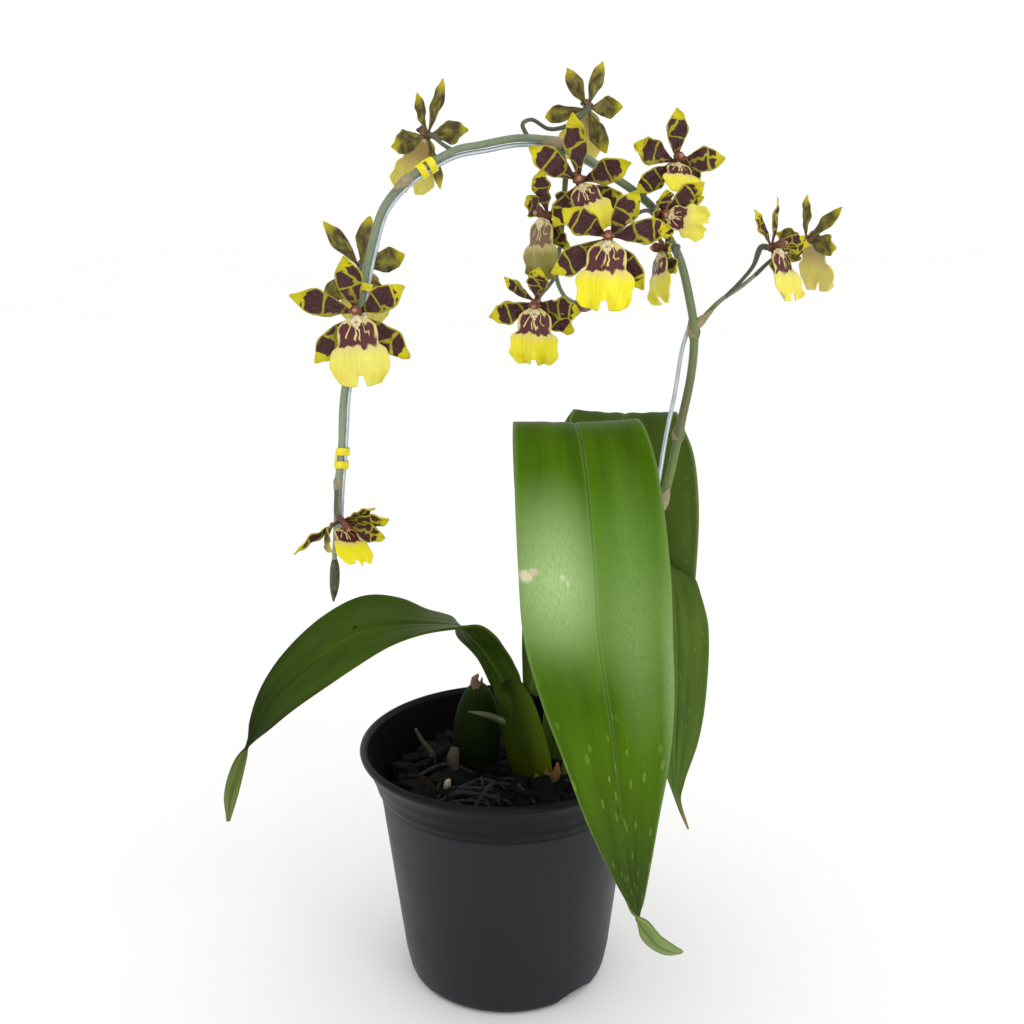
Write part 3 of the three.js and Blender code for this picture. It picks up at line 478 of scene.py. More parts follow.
def lipFace():
    # The lip's upper skin: thin lemon-yellow tissue, translucent, with a maroon saddle crossed by cream fingers.
    add, finish = startMaterial("lipFace", 1.42, roughness=0.42, more=thinTissue)
    uv, across, along = pieceUv(add)
    seed = pieceSeed(add)
    warp = add("TexNoise", inCells(add, uv, lipSize, (3, 4), seed, 0.0, seed), Scale=1.0, Detail=1.0)
    sway = add("MapRange", warp, to=(-0.1, 0.1))
    spread = add("Math", "ABSOLUTE", add("Math", "ADD", add("Math", "SUBTRACT", across, 0.5), sway))
    ragged = add("Math", "ADD", along, sway)
    lower = add("MapRange", ragged, span=(0.46, 0.43))
    upper = add("MapRange", ragged, span=(0.1, 0.13))
    sides = add("MapRange", spread, span=(0.47, 0.43))
    zone = add("Math", "MULTIPLY", add("Math", "MULTIPLY", lower, upper), sides)
    # Fingers: cream lines that fan out from the callus and end before the saddle's lower edge.
    slope = add("Math", "DIVIDE", spread, add("Math", "ADD", ragged, 0.06))
    wave = add("Math", "PINGPONG", add("Math", "MULTIPLY_ADD", slope, 1.6, 0.25), 0.5)
    line = add("MapRange", wave, span=(0.36, 0.42))
    ending = add("MapRange", add("Math", "MULTIPLY_ADD", spread, 0.3, ragged), span=(0.4, 0.36))
    steep = add("MapRange", slope, span=(1.3, 1.15))
    finger = add("Math", "MULTIPLY", add("Math", "MULTIPLY", line, steep), ending)
    clear = add("Math", "SUBTRACT", 1.0, finger)
    palenessAndShade = add("Math", "FRACT", seed)
    # Paleness above 0.85 paints shade, as on bloom 06, whose lip lies in shadow: an olive tint and fainter maroon.
    lipShade = add("MapRange", palenessAndShade, span=(0.85, 0.95))
    kept = add("MapRange", lipShade, to=(1.0, 0.8))
    maroonShare = add("Math", "MULTIPLY", add("Math", "MULTIPLY", zone, kept), clear)
    pale = add("MapRange", ragged, span=(0.42, 0.6), to=(0.8, 0.0))
    vein = grains(add, uv, lipSize, (0.7, 9), 2.0)
    bright = add("ValToRGB", vein, ramp=[(0.3, "#e0d302"), (0.7, "#efe50c")])
    faded = add("ValToRGB", vein, ramp=[(0.3, "#d0c958"), (0.7, "#ddd771")])
    lemon = add("Mix", palenessAndShade, bright, faded)
    # painted shade: olive over the lemon
    lemonInShade = add("Mix", lipShade, lemon, "#8a8434")
    cream = add("Mix", pale, lemonInShade, "#cdbd84")
    maroon = add("ValToRGB", vein, ramp=[(0.3, "#3f1219"), (0.7, "#5e2127")])
    colour = add("Mix", maroonShare, cream, maroon)
    return finish(colour, (vein, 0.35, 0.0003))


def lipBack():
    # The lip's underside: paler, greenish yellow, a brown flush showing through near its base.
    add, finish = startMaterial("lipBack", 1.42, more=thinTissue)
    uv, _, along = pieceUv(add)
    vein = grains(add, uv, lipSize, (0.8, 9), 2.0)
    palenessAndShade = add("Math", "FRACT", pieceSeed(add))
    # Paleness above 0.85 paints shade here too: the underside turns olive.
    lipBackShade = add("MapRange", palenessAndShade, span=(0.85, 0.95))
    lemon = add("ValToRGB", vein, ramp=[(0.3, "#cabf55"), (0.7, "#d8d072")])
    flush = add("MapRange", along, span=(0.3, 0.62), to=(0.75, 0.0))
    flushed = add("Mix", flush, lemon, "#a58c66")
    colour = add("Mix", lipBackShade, flushed, "#77752c")
    return finish(colour, (vein, 0.35, 0.0003))


print("finishes")
polypropylene = mouldedPlastic("mouldedPolypropylene", 0.3, "#0b0d12", "#12151b", 35, 5.0, (0.4, 0.56), 0.12)
# The pot's upper band and rim: darker and less shiny than below, with hardly any scuffs.
upperBandPlastic = mouldedPlastic("upperBandPolypropylene", 0.12, "#090a0c", "#101214", 20, 4.0, (0.36, 0.5), 0.1)
dustAndShadeInside, bark = dustAndShadePlastic(), barkChips()
twig = driedWood("driedTwig", "#2c261d", "#564c3b")
rootSkin = driedWood("driedRoot", "#0d0c0b", "#231f1b")
paleRoot = plainSkin("freshRoot", "#8f866a", "#c9bf9f", 2.0, 0.6)
papery = driedWood("paperyBract", "#4c3a2a", "#8d7658")
freshBract = driedWood("freshBract", "#7a6c55", "#a89a78")
stemWax = stemSkin()
budSkin = plainSkin("budSkin", "#37291f", "#545a38", 2.5, 0.45)
purpleBud = plainSkin("flushedBud", "#5d3c34", "#94766a", 3.0, 0.5)
pedicelSkin = plainSkin("pedicelSkin", "#3f4a33", "#5a5540", 9.0, 0.45)
# Galvanised wire under a thin clear plastic coat: almost white, softly shiny.
wireCoat = plainSkin("coatedSteelWire", "#a9b4ba", "#bec8cd", 4.0, 0.28, 0.00005, {"Metallic": 0.4})
# PVC plant tie: an opaque lemon strip with a smooth, slightly greasy shine.
tiePlastic = plainSkin("pvcTie", "#d8c906", "#e8da14", 1.5, 0.35, 0.00008)
tepalUpper, tepalUnder = tepalFace(), tepalBack()
lipUpper, lipUnder = lipFace(), lipBack()
columnSkin = plainSkin("columnSkin", "#4a1d15", "#7a4226", 2.2, 0.4)
callusWax = plainSkin("callusWax", "#cdb98c", "#e8dcb4", 1.2, 0.35)
antherWax = plainSkin("antherWax", "#8a5a3c", "#b98a60", 1.0, 0.3)


potShape = {
    "outside": (
        (0, 0.6), (30, 0.6), (38, 0.3), (41, 0), (43, 0.4), (44.6, 1.8), (45.4, 4), (47, 12), (50.6, 42),
        (56.2, 89), (56.5, 90.6), (57.2, 91.4), (57.9, 92.2), (58.4, 94), (58.9, 96.4), (59.6, 97.6), (60.3, 99.4),
        (61.2, 102), (62.6, 104.6), (64.0, 106.1), (64.8, 107.4), (65, 108.4), (64.7, 109.3), (64.0, 109.9),
    ),
    "inside": (
        (63.2, 110), (62.5, 109.5), (61.6, 108), (60.0, 105), (59.0, 102.6), (57.0, 97), (55, 91), (45.4, 12),
        (43, 3.6), (40.5, 1.6), (0, 1.6),
    ),
    # inside faces below the first height take the dusty finish with painted shade; faces above the second take the
    # darker upper finish
    "segments": 144, "dustAndShadeLine": 108, "upperBandFrom": 76.0, "sharpAngle": 38,
    # drain openings in the base corner: their count, the first one's angle, and their sizes
    "notches": 3, "firstNotch": -48, "notchHalfWidth": 11, "notchHeight": 4.8, "notchPlace": 46, "notchDepth": 16,
}


def buildPot():
    shape = turnedProfile(potShape["outside"] + potShape["inside"], potShape["segments"])
    for face in shape.faces:
        middle = face.calc_center_median()
        facesIn = face.normal.x * middle.x + face.normal.y * middle.y < 0 or face.normal.z > 0.9
        if facesIn and middle.z < potShape["dustAndShadeLine"]:
            face.material_index = 1
        elif middle.z > potShape["upperBandFrom"]:
            face.material_index = 2
    pot = finishPiece("potShell", shape, [polypropylene, dustAndShadeInside, upperBandPlastic], ["pot"])
    cutShape = newShape()
    for i in range(potShape["notches"]):
        angle = math.radians(potShape["firstNotch"] + 360 / potShape["notches"] * i)
        lying = Matrix.Rotation(math.pi / 2, 4, "Y")
        turned = Matrix.Rotation(angle, 4, "Z") @ Matrix.Translation((potShape["notchPlace"], 0, 0))
        sized = Matrix.Diagonal((1, potShape["notchHalfWidth"], potShape["notchHeight"], 1))
        bmesh.ops.create_cone(
            cutShape, cap_ends=True, segments=48, radius1=1, radius2=1, depth=potShape["notchDepth"],
            matrix=turned @ sized @ lying,
        )
    cutter = addObject("notchCutter", cutShape)
    cut = pot.modifiers.new("notches", "BOOLEAN")
    cut.operation, cut.object, cut.solver = "DIFFERENCE", cutter, "EXACT"
    bpy.context.view_layer.update()
    whole = pot.evaluated_get(bpy.context.evaluated_depsgraph_get())
    pot.data = bpy.data.meshes.new_from_object(whole)
    pot.modifiers.clear()
    bpy.data.objects.remove(cutter)
    pot.data.set_sharp_from_angle(angle=math.radians(potShape["sharpAngle"]))


medium = {
    "profile": ((0, 1.9), (39.5, 1.9), (41.5, 5), (45.0, 12), (53.6, 86), (52, 88)),
    "top": 88.5, "rings": (46, 40, 33, 26, 19, 12, 6, 0), "roughAbove": 87, "roughness": 1.6, "segments": 72,
    "chips": 230, "spread": 50, "reach": 53, "seed": 11,
    "chipLength": (6, 15), "widths": (0.45, 0.75), "heights": (0.25, 0.5),  # the last two as shares of the length
    "chipBase": 89.5, "chipRise": 4.5, "flatRim": 45,  # chips lie lower outside the flat rim's radius
    "tilt": 0.6, "unevenness": 0.16, "roundedEdge": 0.07,
}


def buildMedium():
    top = tuple((radius, medium["top"]) for radius in medium["rings"])
    shape = turnedProfile(medium["profile"] + top, medium["segments"])
    for vert in shape.verts:
        if vert.co.z > medium["roughAbove"]:
            vert.co.z += medium["roughness"] * noise.noise(vert.co / 5)
    pick = random.Random(medium["seed"])
    seedLayer = shape.verts.layers.float["seed"]
    for i in range(medium["chips"]):
        angle, distance = i * goldenAngle, medium["spread"] * math.sqrt((i + 0.5) / medium["chips"])
        length = pick.uniform(*medium["chipLength"])
        sizes = [length, length * pick.uniform(*medium["widths"]), length * pick.uniform(*medium["heights"])]
        distance = min(distance, medium["reach"] - length / 2)
        height = pick.uniform(0, medium["chipRise"]) * (1 if distance < medium["flatRim"] else 0.6)
        height += medium["chipBase"]
        turn = Matrix.Rotation(pick.uniform(0, 6.3), 4, "Z")
        for axis in "XY":
            turn = turn @ Matrix.Rotation(pick.uniform(-medium["tilt"], medium["tilt"]), 4, axis)
        made = bmesh.ops.create_cube(shape, size=1)["verts"]
        for vert in made:
            jitter = Vector([pick.uniform(-1, 1) * medium["unevenness"] for _ in range(3)])
            vert.co = Vector([c * s for c, s in zip(vert.co + jitter, sizes)])
        edges = list({edge for vert in made for edge in vert.link_edges})
        faces = bmesh.ops.bevel(
            shape, geom=made + edges, offset=length * medium["roundedEdge"], segments=1, profile=0.5, affect="EDGES",
            material=-1,
        )["faces"]
        verts = list({vert for face in faces for vert in face.verts} | {vert for vert in made if vert.is_valid})
        tint = pick.random()
        for vert in verts:
            vert.co = turn @ vert.co + Vector((distance * math.cos(angle), distance * math.sin(angle), height))
            vert[seedLayer] = tint
    finishPiece("barkMix", shape, [bark], ["growing_medium"], sharp=30)


rootsShape = {
    "roots": (
        # points along each root, and its radius at the first
        (((-26, -22, 92), (-18, -26, 97), (-8, -27, 96), (2, -24, 94)), 1.2),
        (((-30, -14, 92), (-22, -20, 96), (-14, -22, 97), (-4, -18, 94)), 1.44),
        (((-12, -8, 92), (-16, -17, 97), (-24, -24, 95), (-33, -27, 91)), 1.04),
        (((-4, -10, 93), (-6, -20, 98), (-12, -30, 95), (-14, -37, 91)), 1.12),
        (((8, -10, 93), (6, -20, 97), (12, -29, 94), (16, -36, 90)), 0.96),
        (((24, -8, 92), (30, -16, 97), (37, -20, 94), (43, -22, 90)), 1.04),
        (((-2, 6, 92), (-8, 22, 96), (-18, 32, 95), (-26, 38, 90)), 1.12),
        (((18, 12, 92), (20, 26, 96), (12, 38, 94), (6, 45, 90)), 1.04),
        (((-14, 2, 92), (-26, 2, 97), (-38, -4, 95), (-45, -8, 90)), 1.04),
    ),
    "rods": (  # points, steps, radii, sides and finish: a fresh root's tip, and what a rotted bulb left
        (((-26, -17, 94.5), (-25.5, -18, 97.5), (-24.6, -18.5, 99.6)), 16, (1.3, 1.5, 1.5, 0.8), 14, 1),
        (((-23, -3, 97), (-23.5, -3, 102), (-22.5, -2, 107)), 16, (2.0, 2.6, 2.7, 1.8), 14, 2),
    ),
    "fine": {"count": 26, "seed": 12, "x": (-32, 2), "y": (-34, -12), "z": (93.5, 97), "radius": (0.4, 0.75),
             "length": (12, 24), "drop": 3.5},
}


def buildRoots():
    shape = newShape()
    for i, (points, radius) in enumerate(rootsShape["roots"]):
        addRod(shape, points, 36, (radius, 0.75 * radius), 12, ripple=roughened(0.14, 1, 9, 7 * i))
    for rod in rootsShape["rods"]:
        addRod(shape, *rod)
    fine = rootsShape["fine"]
    chance = random.Random(fine["seed"])
    for i in range(fine["count"]):
        start = Vector([chance.uniform(*fine[axis]) for axis in "xyz"])
        turn, length = chance.uniform(0, 2 * math.pi), chance.uniform(*fine["length"])
        ahead = Vector((math.cos(turn), 0.55 * math.sin(turn), 0)) * length / 2
        bend = Vector((-ahead.y, ahead.x, 0)) * chance.uniform(-0.4, 0.4)
        drop = Vector((0, 0, fine["drop"]))
        low, high = start - ahead, start + ahead
        points = (low - drop, start - ahead * 0.5 + bend, start + ahead * 0.5 + bend * 0.6, high - drop)
        radius = chance.uniform(*fine["radius"])
        addRod(shape, points, 20, (radius, radius * 1.1, radius * 0.9, radius * 0.5), 8)
    finishPiece("surfaceRoots", shape, [rootSkin, paleRoot, twig])


stick = {
    "points": ((-33, 10, 90), (-34, 10, 99), (-38, 10, 105), (-41, 10, 111)), "radii": (1.2, 1.25, 1.1, 0.95, 0.65),
}


def buildStick():
    shape = newShape()
    addRod(shape, stick["points"], 40, stick["radii"], 16, ripple=roughened(0.12, 1.4, 6))
    finishPiece("drySplinter", shape, [twig], ["dry_stick"])


bulbShapes = {
    "old": {
        "base": (-14, 9, 84), "apex": (-12, 12, 133), "halfWidth": 11, "halfDepth": 7, "full": 2.2, "narrow": 0.12,
        "ribs": 9, "ribDepth": 0.035, "wrinkle": 0.05, "phase": 0.4,
        "colours": ((0.0, "#0c1305"), (0.3, "#121c06"), (0.75, "#1c2a09"), (0.93, "#39451a"), (1.0, "#5a4630")),
        "rods": (  # the dry tip: points, steps, radii, sides and finish
            (((-12.6, 11.6, 129), (-13.5, 10.8, 134.5), (-12, 10.5, 137)), 16, (2.8, 2.2, 1.7, 0.6), 18, 1),
            (((-11.6, 11.8, 130), (-10.6, 11.6, 133), (-10.4, 11.8, 135)), 10, (1.4, 0.9, 0.3), 12, 1),
        ),
    },
    "new": {
        "base": (15, -4, 85), "apex": (1, 2, 140), "halfWidth": 9.4, "halfDepth": 7.6, "full": 3, "narrow": 0.12,
        "ribs": 7, "ribDepth": 0.018, "wrinkle": 0.01, "phase": 1.1,
        "colours": ((0.0, "#6a4a10"), (0.16, "#5a5c0a"), (0.45, "#435409"), (0.8, "#344509"), (1.0, "#2a3b0c")),
        "rods": (  # the pale shoot on its flank, and a dry scale's roll
            (((2, -3, 119), (-7, -7, 124.5), (-16, -9, 127.5)), 24, (1.8, 1.6, 1.2, 0.4), 20, 1),
            (((19, -7, 91), (22.5, -9.5, 98), (23, -10, 103)), 16, (3.4, 2.8, 1.9, 0.6), 16, 2),
        ),
        "sheath": {"middle": (14.6, -4.0, 87), "halfWidth": 11.0, "halfDepth": 8.6, "height": 12, "lean": 0.29},
        "clasp": ((5.0, -5.0, 117), (3.6, -6.4, 124), (1.6, -4.6, 132), (0.4, 0.6, 139), (-2.4, 0.0, 145.5)),
    },
}


def buildBulb(key, name, node, skin, extras, moreFinishes):
    bulb = bulbShapes[key]
    base, apex = Vector(bulb["base"]), Vector(bulb["apex"])
    half, up = (apex - base).length / 2, (apex - base).normalized()
    depth = (Vector((0, 1, 0)) - up * up.y).normalized()
    side = depth.cross(up)
    middle = (base + apex) / 2

    def surfaceAt(u, v):
        angle = math.pi * (u + 1)
        y = -math.cos(math.pi * v)
        egg = math.sqrt(max(1 - abs(y) ** bulb["full"], 0)) * (1 - bulb["narrow"] * y)
        ribs = 1 - bulb["ribDepth"] * (0.5 + 0.5 * math.cos(bulb["ribs"] * angle + bulb["phase"] + y)) * (1 - y * y)
        ribs -= bulb["wrinkle"] * abs(noise.noise((math.cos(angle) * 3, math.sin(angle) * 3, y * 1.6)))
        across = side * (bulb["halfWidth"] * math.cos(angle)) + depth * (bulb["halfDepth"] * math.sin(angle))
        return middle + up * (y * half) + across * egg * ribs

    shape = newShape()
    addSheet(shape, 72, 48, surfaceAt, closed=True, flip=True)
    bmesh.ops.recalc_face_normals(shape, faces=shape.faces)
    extras(shape)
    finishPiece(name, shape, [skin] + moreFinishes, [node])


def oldBulbTip(shape):
    for rod in bulbShapes["old"]["rods"]:
        addRod(shape, *rod, ripple=roughened(0.25, 2, 5))


def newBulbExtras(shape):
    shoot, scale = bulbShapes["new"]["rods"]
    middles, sheath = [Vector(p) for p in bulbShapes["new"]["clasp"]], bulbShapes["new"]["sheath"]

    def sheathAt(u, v):  # what is left of a torn papery scale at the bulb's foot
        angle = -1.0 + 0.75 * u
        lift = sheath["height"] * v * (1 - 0.45 * u * u + 0.16 * math.sin(9 * u))
        radius = 1 + 0.06 * v
        x = sheath["halfWidth"] * radius * math.cos(angle) * (0.86 + 0.1 * v) - sheath["lean"] * lift
        y = sheath["halfDepth"] * radius * math.sin(angle) * (0.9 + 0.06 * v)
        return Vector(sheath["middle"]) + Vector((x, y, lift))

    def clasp(u, v):  # the leaf's base, which clasps the bulb's apex and runs up into its neck
        half = 3.2 + 3.2 * smoothStep(0, 0.5, v) - 1.1 * smoothStep(0.6, 1, v)
        hollow, rise = 4.5 * u * u * (1 - 0.75 * v), -3.5 * u * (1 - v) + 3 * u * v
        return curvePoint(middles, v) + Vector((half * u, hollow, rise))

    addRod(shape, *shoot)
    addSheet(shape, 16, 24, clasp, finish=3)
    addSheet(shape, 24, 16, sheathAt, finish=2)
    addRod(shape, *scale)


# edges: from base to tip, a place on the left edge and one on the right. keel: how deep the leaf is folded there.
# marks: place across and along, half sizes in millimetres, tint, share and how soft its edge is; a mark softer than
# 0.5 is a painted sheen, a painted highlight.
leafShapes = {
    "leaf_left": {
        "edges": (
            (-6, 5, 134, 7, 1, 138), (-11, 5, 145, 4, -1, 147), (-17, 6, 153, 0, -6, 156),
            (-21, 8, 158, -4, -14, 164), (-22, 8, 163, -11, -20, 171), (-27, 4, 168, -20, -27, 173),
            (-34, -4, 174, -32, -36, 174), (-44, -13, 181, -46, -48, 173), (-59, -22, 185, -59, -57, 168),
            (-74, -33, 181, -71, -62, 161), (-87, -43, 171, -85, -63, 151), (-97, -50, 157, -94, -61, 143),
            (-102, -54, 144, -99, -58, 138), (-103, -55, 136, -103, -57, 134),
            (-104, -55, 129, -108, -56, 129), (-107, -54, 118, -112, -57, 120),
            (-110, -54, 108, -114, -56, 111), (-113, -53, 100, -114, -54, 100),
        ),
        "keel": (3, 3, 2, 2, 2, 2, 2, 2, 2, 2, 2, 1, 0.5, 0, 0.5, 0.5, 0.3, 0),
        "upper": ((0.0, "#445418"), (0.3, "#3d4f14"), (0.42, "#3a5012"), (0.53, "#34480f"), (0.66, "#283611"),
                  (0.76, "#1d2711"), (0.84, "#56612c"), (1.0, "#5e6732")),
        "under": ((0.0, "#30410f"), (0.15, "#2c3c0c"), (0.3, "#2c3d0e"), (0.42, "#394b15"), (0.85, "#5d6a34"),
                  (1.0, "#67713e")),
        "rib": 0.35, "edge": 0.0, "pimples": 0.0, "wave": 0.5, "pleats": 0.16,
        # The second mark is a painted sheen, a soft painted highlight on the upper face.
        "marks": (((0.34, 0.478), (2.0, 1.3), "#1f1a14", 0.9, 0.25), ((0.2, 0.42), (14, 60), "#4c5b30", 0.35, 0.9)),
    },
    "leaf_front": {
        "edges": (
            (8.5, 5, 134, 14, 3, 129), (8, 6, 150, 21, 6, 147), (8, 6, 170, 32, 7, 170),
            (7, 3, 196, 42, 5, 196), (5, -6, 224, 49, -5, 225), (4, -22, 250, 51, -21, 250.5),
            (4, -42, 262.3, 51, -41, 262.1), (4, -62, 262.3, 53, -60, 262.1), (4, -78, 251, 56, -76, 250.5),
            (5, -88, 220, 60, -87, 216), (7, -91, 191, 61, -91, 191), (13, -92, 168, 62, -92, 168),
            (20, -92, 148, 61, -93, 146), (30, -92, 119, 57, -94, 119), (39, -92, 98, 54, -94, 98),
            (46, -91, 84, 52, -93, 84), (49, -92, 79, 51, -90, 76), (54, -91, 76, 52, -88, 67),
            (60, -88, 67, 57, -84, 59), (66, -84, 60, 63, -82, 55), (70, -80, 55, 69, -80, 54),
        ),
        "keel": (3, 4, 4, 3, 2, 1, 1, 1.5, 2, 2, 2, 2, 2, 2, 1.5, 1, 0, 0.5, 0.5, 0.3, 0),
        # The upper stops hold painted light: a little lighter about 0.43, where the sheen begins, and darker and
        # greyer about 0.7 to 0.76, painted shadow on the lower leaf.
        "upper": ((0.0, "#364a14"), (0.34, "#395602"), (0.405, "#3f6104"), (0.43, "#456a10"), (0.5, "#40600a"),
                  (0.54, "#3b5a04"), (0.6, "#406008"), (0.65, "#3e5a10"), (0.7, "#384b1a"), (0.76, "#37461c"),
                  (0.86, "#4b5a28"), (1.0, "#616f38")),
        "under": ((0.0, "#3c4f1c"), (0.5, "#4a611c"), (0.8, "#6f8049"), (1.0, "#7d8e56")),
        "rib": 0.5, "edge": 0.3, "pimples": 0.36, "wave": 0.5, "pleats": 0.1,
        "marks": (
            # The first four marks are painted sheen, painted highlights on the glossy face: a broad band and a bright
            # spot left of the midrib, one on the right half and one along the right margin.
            ((0.42, 0.482), (46, 20), "#789a50", 0.65, 0.9), ((0.2, 0.462), (24, 17), "#a6c184", 1.0, 0.95),
            ((0.8, 0.5), (15, 32), "#83a35e", 0.6, 0.9),
            ((0.985, 0.53), (4, 34), "#8aa86a", 0.7, 0.9),
            ((0.035, 0.459), (3.0, 1.3), "#cfc6a6", 0.85, 0.4), ((0.075, 0.456), (2.2, 0.8), "#c2b298", 0.8, 0.4),
            ((0.235, 0.459), (1.3, 0.6), "#bfc2a0", 0.8, 0.3), ((0.265, 0.463), (0.7, 0.8), "#bfc2a0", 0.8, 0.3),
            ((0.42, 0.643), (0.7, 1.1), "#2a1c16", 0.9, 0.25), ((0.44, 0.652), (0.8, 1.0), "#2a1c16", 0.9, 0.25),
            ((0.42, 0.673), (0.7, 1.4), "#33221a", 0.9, 0.25), ((0.36, 0.62), (0.7, 0.7), "#7d8c42", 0.8, 0.3),
            ((0.66, 0.60), (0.7, 0.7), "#7d8c42", 0.8, 0.3),
        ),
    },
    "leaf_back": {
        "edges": (
            (14, 9, 84, 26, 9, 84), (17, 17, 105, 32, 18, 106), (22, 36, 145, 50, 40, 145),
            (22, 48, 180, 62, 52, 180), (24, 54, 212, 72, 57, 212), (27, 54, 240, 76, 55, 241),
            (32.5, 46, 250.5, 79, 45, 250), (30, 37, 248, 80, 35, 247), (32, 32, 236, 85, 30, 235),
            (37, 29, 213, 88, 28, 213), (46, 28, 185, 88, 28, 184), (57, 28, 156, 86, 28, 156),
            (68, 28, 136, 81, 28, 134), (76, 29, 117, 77, 29, 116),
        ),
        "keel": (2, 3, 4, 3, 2, 1, 1, 1, 1, 1, 1, 1, 1, 0),
        "upper": ((0.0, "#273614"), (0.4, "#2f4015"), (0.55, "#3f5219"), (0.75, "#435620"), (1.0, "#455726")),
        "under": ((0.0, "#3c4f1c"), (0.5, "#4a611c"), (1.0, "#6f8049")),
        "rib": 0.5, "edge": 0.35, "pimples": 0.1, "wave": 0.6, "pleats": 0.2,
        "marks": (),
    },
    "leaf_right": {
        "edges": (
            (29, 5, 84, 38, 4, 84), (34, 13, 108, 47, 12, 110), (42, 21, 136, 60, 20, 138),
            (50, 24, 160, 74, 24, 157), (56, 24, 184, 83, 25, 170), (60, 20, 195, 86.5, 23, 177),
            (63, 14, 189, 88.5, 18, 171), (64, 11, 162, 92, 15, 158), (66, 11, 133, 92, 14, 126),
            (69, 11, 104, 89, 14, 101), (75, 11, 84, 83, 13, 81), (79, 11, 73, 81.5, 12, 73),
            (84.5, 10, 59, 85.5, 10, 59),
        ),
        "keel": (2, 3, 3, 2, 1, 1, 1, 1.5, 1.5, 1.5, 1, 0.3, 0),
        "upper": ((0.0, "#273614"), (0.42, "#3a4e1b"), (0.58, "#4a6022"), (0.88, "#4f672c"), (0.95, "#6f6738"),
                  (1.0, "#948053")),
        "under": ((0.0, "#3c4f1c"), (0.5, "#4a611c"), (1.0, "#6f8049")),
        "rib": 0.5, "edge": 0.25, "pimples": 0.15, "wave": 0.5, "pleats": 0.2,
        "marks": (),
    },
}
leafForm = {"grid": (32, 150), "thickness": 1.0, "midrib": 0.3}


def buildLeaf(node, leaf):
    name = pieceName(node)
    left, right = [Vector(row[:3]) for row in leaf["edges"]], [Vector(row[3:]) for row in leaf["edges"]]
    phase = len(node) * 1.7

    def middleAt(v):
        return (curvePoint(left, v) + curvePoint(right, v)) / 2

    def surfaceAt(u, v):
        u = math.copysign(abs(u) ** 1.35, u)  # more columns near the midrib
        side = (curvePoint(right, v) - curvePoint(left, v)) / 2
        back = side.cross(middleAt(min(v + 0.02, 1)) - middleAt(max(v - 0.02, 0))).normalized()
        ends = smoothStep(0, 0.12, v) * smoothStep(1, 0.85, v)
        depth = alongStations(leaf["keel"], v) * (1 - abs(u) ** 1.4)
        depth += leafForm["midrib"] * math.exp(-(u / 0.03) ** 2) * ends
        depth += leaf["pleats"] * math.cos(2 * math.pi * 2.6 * abs(u) + 0.6) * ends * (1 - u * u)
        ripple = math.sin(2 * math.pi * 5.3 * v + phase + (1.9 if u > 0 else 0))
        depth += leaf["wave"] * abs(u) ** 3 * (ripple + 0.5 * math.sin(31 * v + phase)) * ends
        return middleAt(v) + side * u + back * depth

    shape = newShape()
    addSheet(shape, *leafForm["grid"], surfaceAt, flip=True)
    skins = [
        leafSkin(name + "Upper", leaf["upper"], leaf["rib"], leaf["edge"], leaf["marks"], leaf["pimples"]),
        leafSkin(name + "Under", leaf["under"], 0.5, 0.2, (), 0.0),
    ]
    finishPiece(name, shape, skins, [node], thickness=leafForm["thickness"])


stemPoints = (
    (26, -2, 82), (28, -1, 96), (34, 3, 125), (46, 8, 158), (60, 12, 190), (70, 13, 218), (76, 14, 246),
    (81, 14, 274), (81.4, 14, 291), (79.3, 14, 303), (74.5, 13, 320), (69, 12, 330), (63.4, 11, 340),
    (55, 10, 347.5), (45, 8, 354), (36, 6, 360), (22, 4, 367), (8, 2, 368.6), (-8, 0, 366), (-18, -2, 364),
    (-35.4, -5, 354), (-46, -8, 343), (-52, -10, 326), (-58.8, -13, 295), (-64.5, -15, 267), (-66, -16, 248),
    (-67.7, -17, 234), (-69, -18, 217), (-70.2, -18, 203), (-70.6, -18, 199),
)
stem = {
    "radii": (2.9, 2.6, 2.3, 1.9, 1.8, 1.65, 1.45, 1.35, 1.3, 1.05),
    # share of the length, bract length, side of the stem it opens on in degrees
    "nodes": ((0.262, 11, 200), (0.317, 8, 20), (0.4, 9, 30), (0.59, 10, 140), (0.708, 10, 200), (0.94, 8, 60)),
    "sleeves": ((0.12, 13, 200), (0.03, 7, 20)),  # the scale at each branch's foot, as the nodes' ones
    "branches": (
        (((81, 14, 291), (92, 13, 303), (100, 13, 308.4), (106, 12, 313.5)), (1.3, 0.95, 0.85)),
        (((22, 4, 367), (26, 6, 358), (26, 11, 345), (25, 14, 329), (23, 12, 314), (26, 5, 306), (30, 0, 303.5)),
         (1.4, 1.2, 1, 0.9, 0.9)),
    ),
    "pedicelRadii": (0.95, 0.85, 0.8, 0.9, 1.25, 1.3),
    "buds": (  # the last one and the one on the hanging branch: points, steps, radii, sides and finish
        (((-70.4, -18, 200.5), (-70.6, -18, 196), (-70.8, -18, 190), (-71.6, -18, 182)), 30,
         (1.1, 1.9, 2.1, 2.1, 1.9, 1.3, 0.35), 20, 2),
        (((29, 0.4, 304), (32, 0, 302.5), (35, 0, 302), (38, 0, 302.5)), 24, (0.9, 1.8, 2.2, 2.1, 1.5, 0.5), 20, 3),
    ),
}
stemPath = evenPath(stemPoints, 420)
wire = {
    "radius": 0.95, "gap": 0.4, "follow": (0.41, 0.99), "points": 26,
    # its way up to the stem, and then the side of the stem it lies on, in degrees, over a share of the length
    "foot": ((40, 3, 60), (43, 4, 90), (56, 6.5, 155), (65, 8.5, 210), (70, 11, 244), (74, 14, 264), (77, 17, 282)),
    "turns": (85, 88, 70, 20, 40, 45, 45, 45, 40), "turnsOver": 0.575,
}
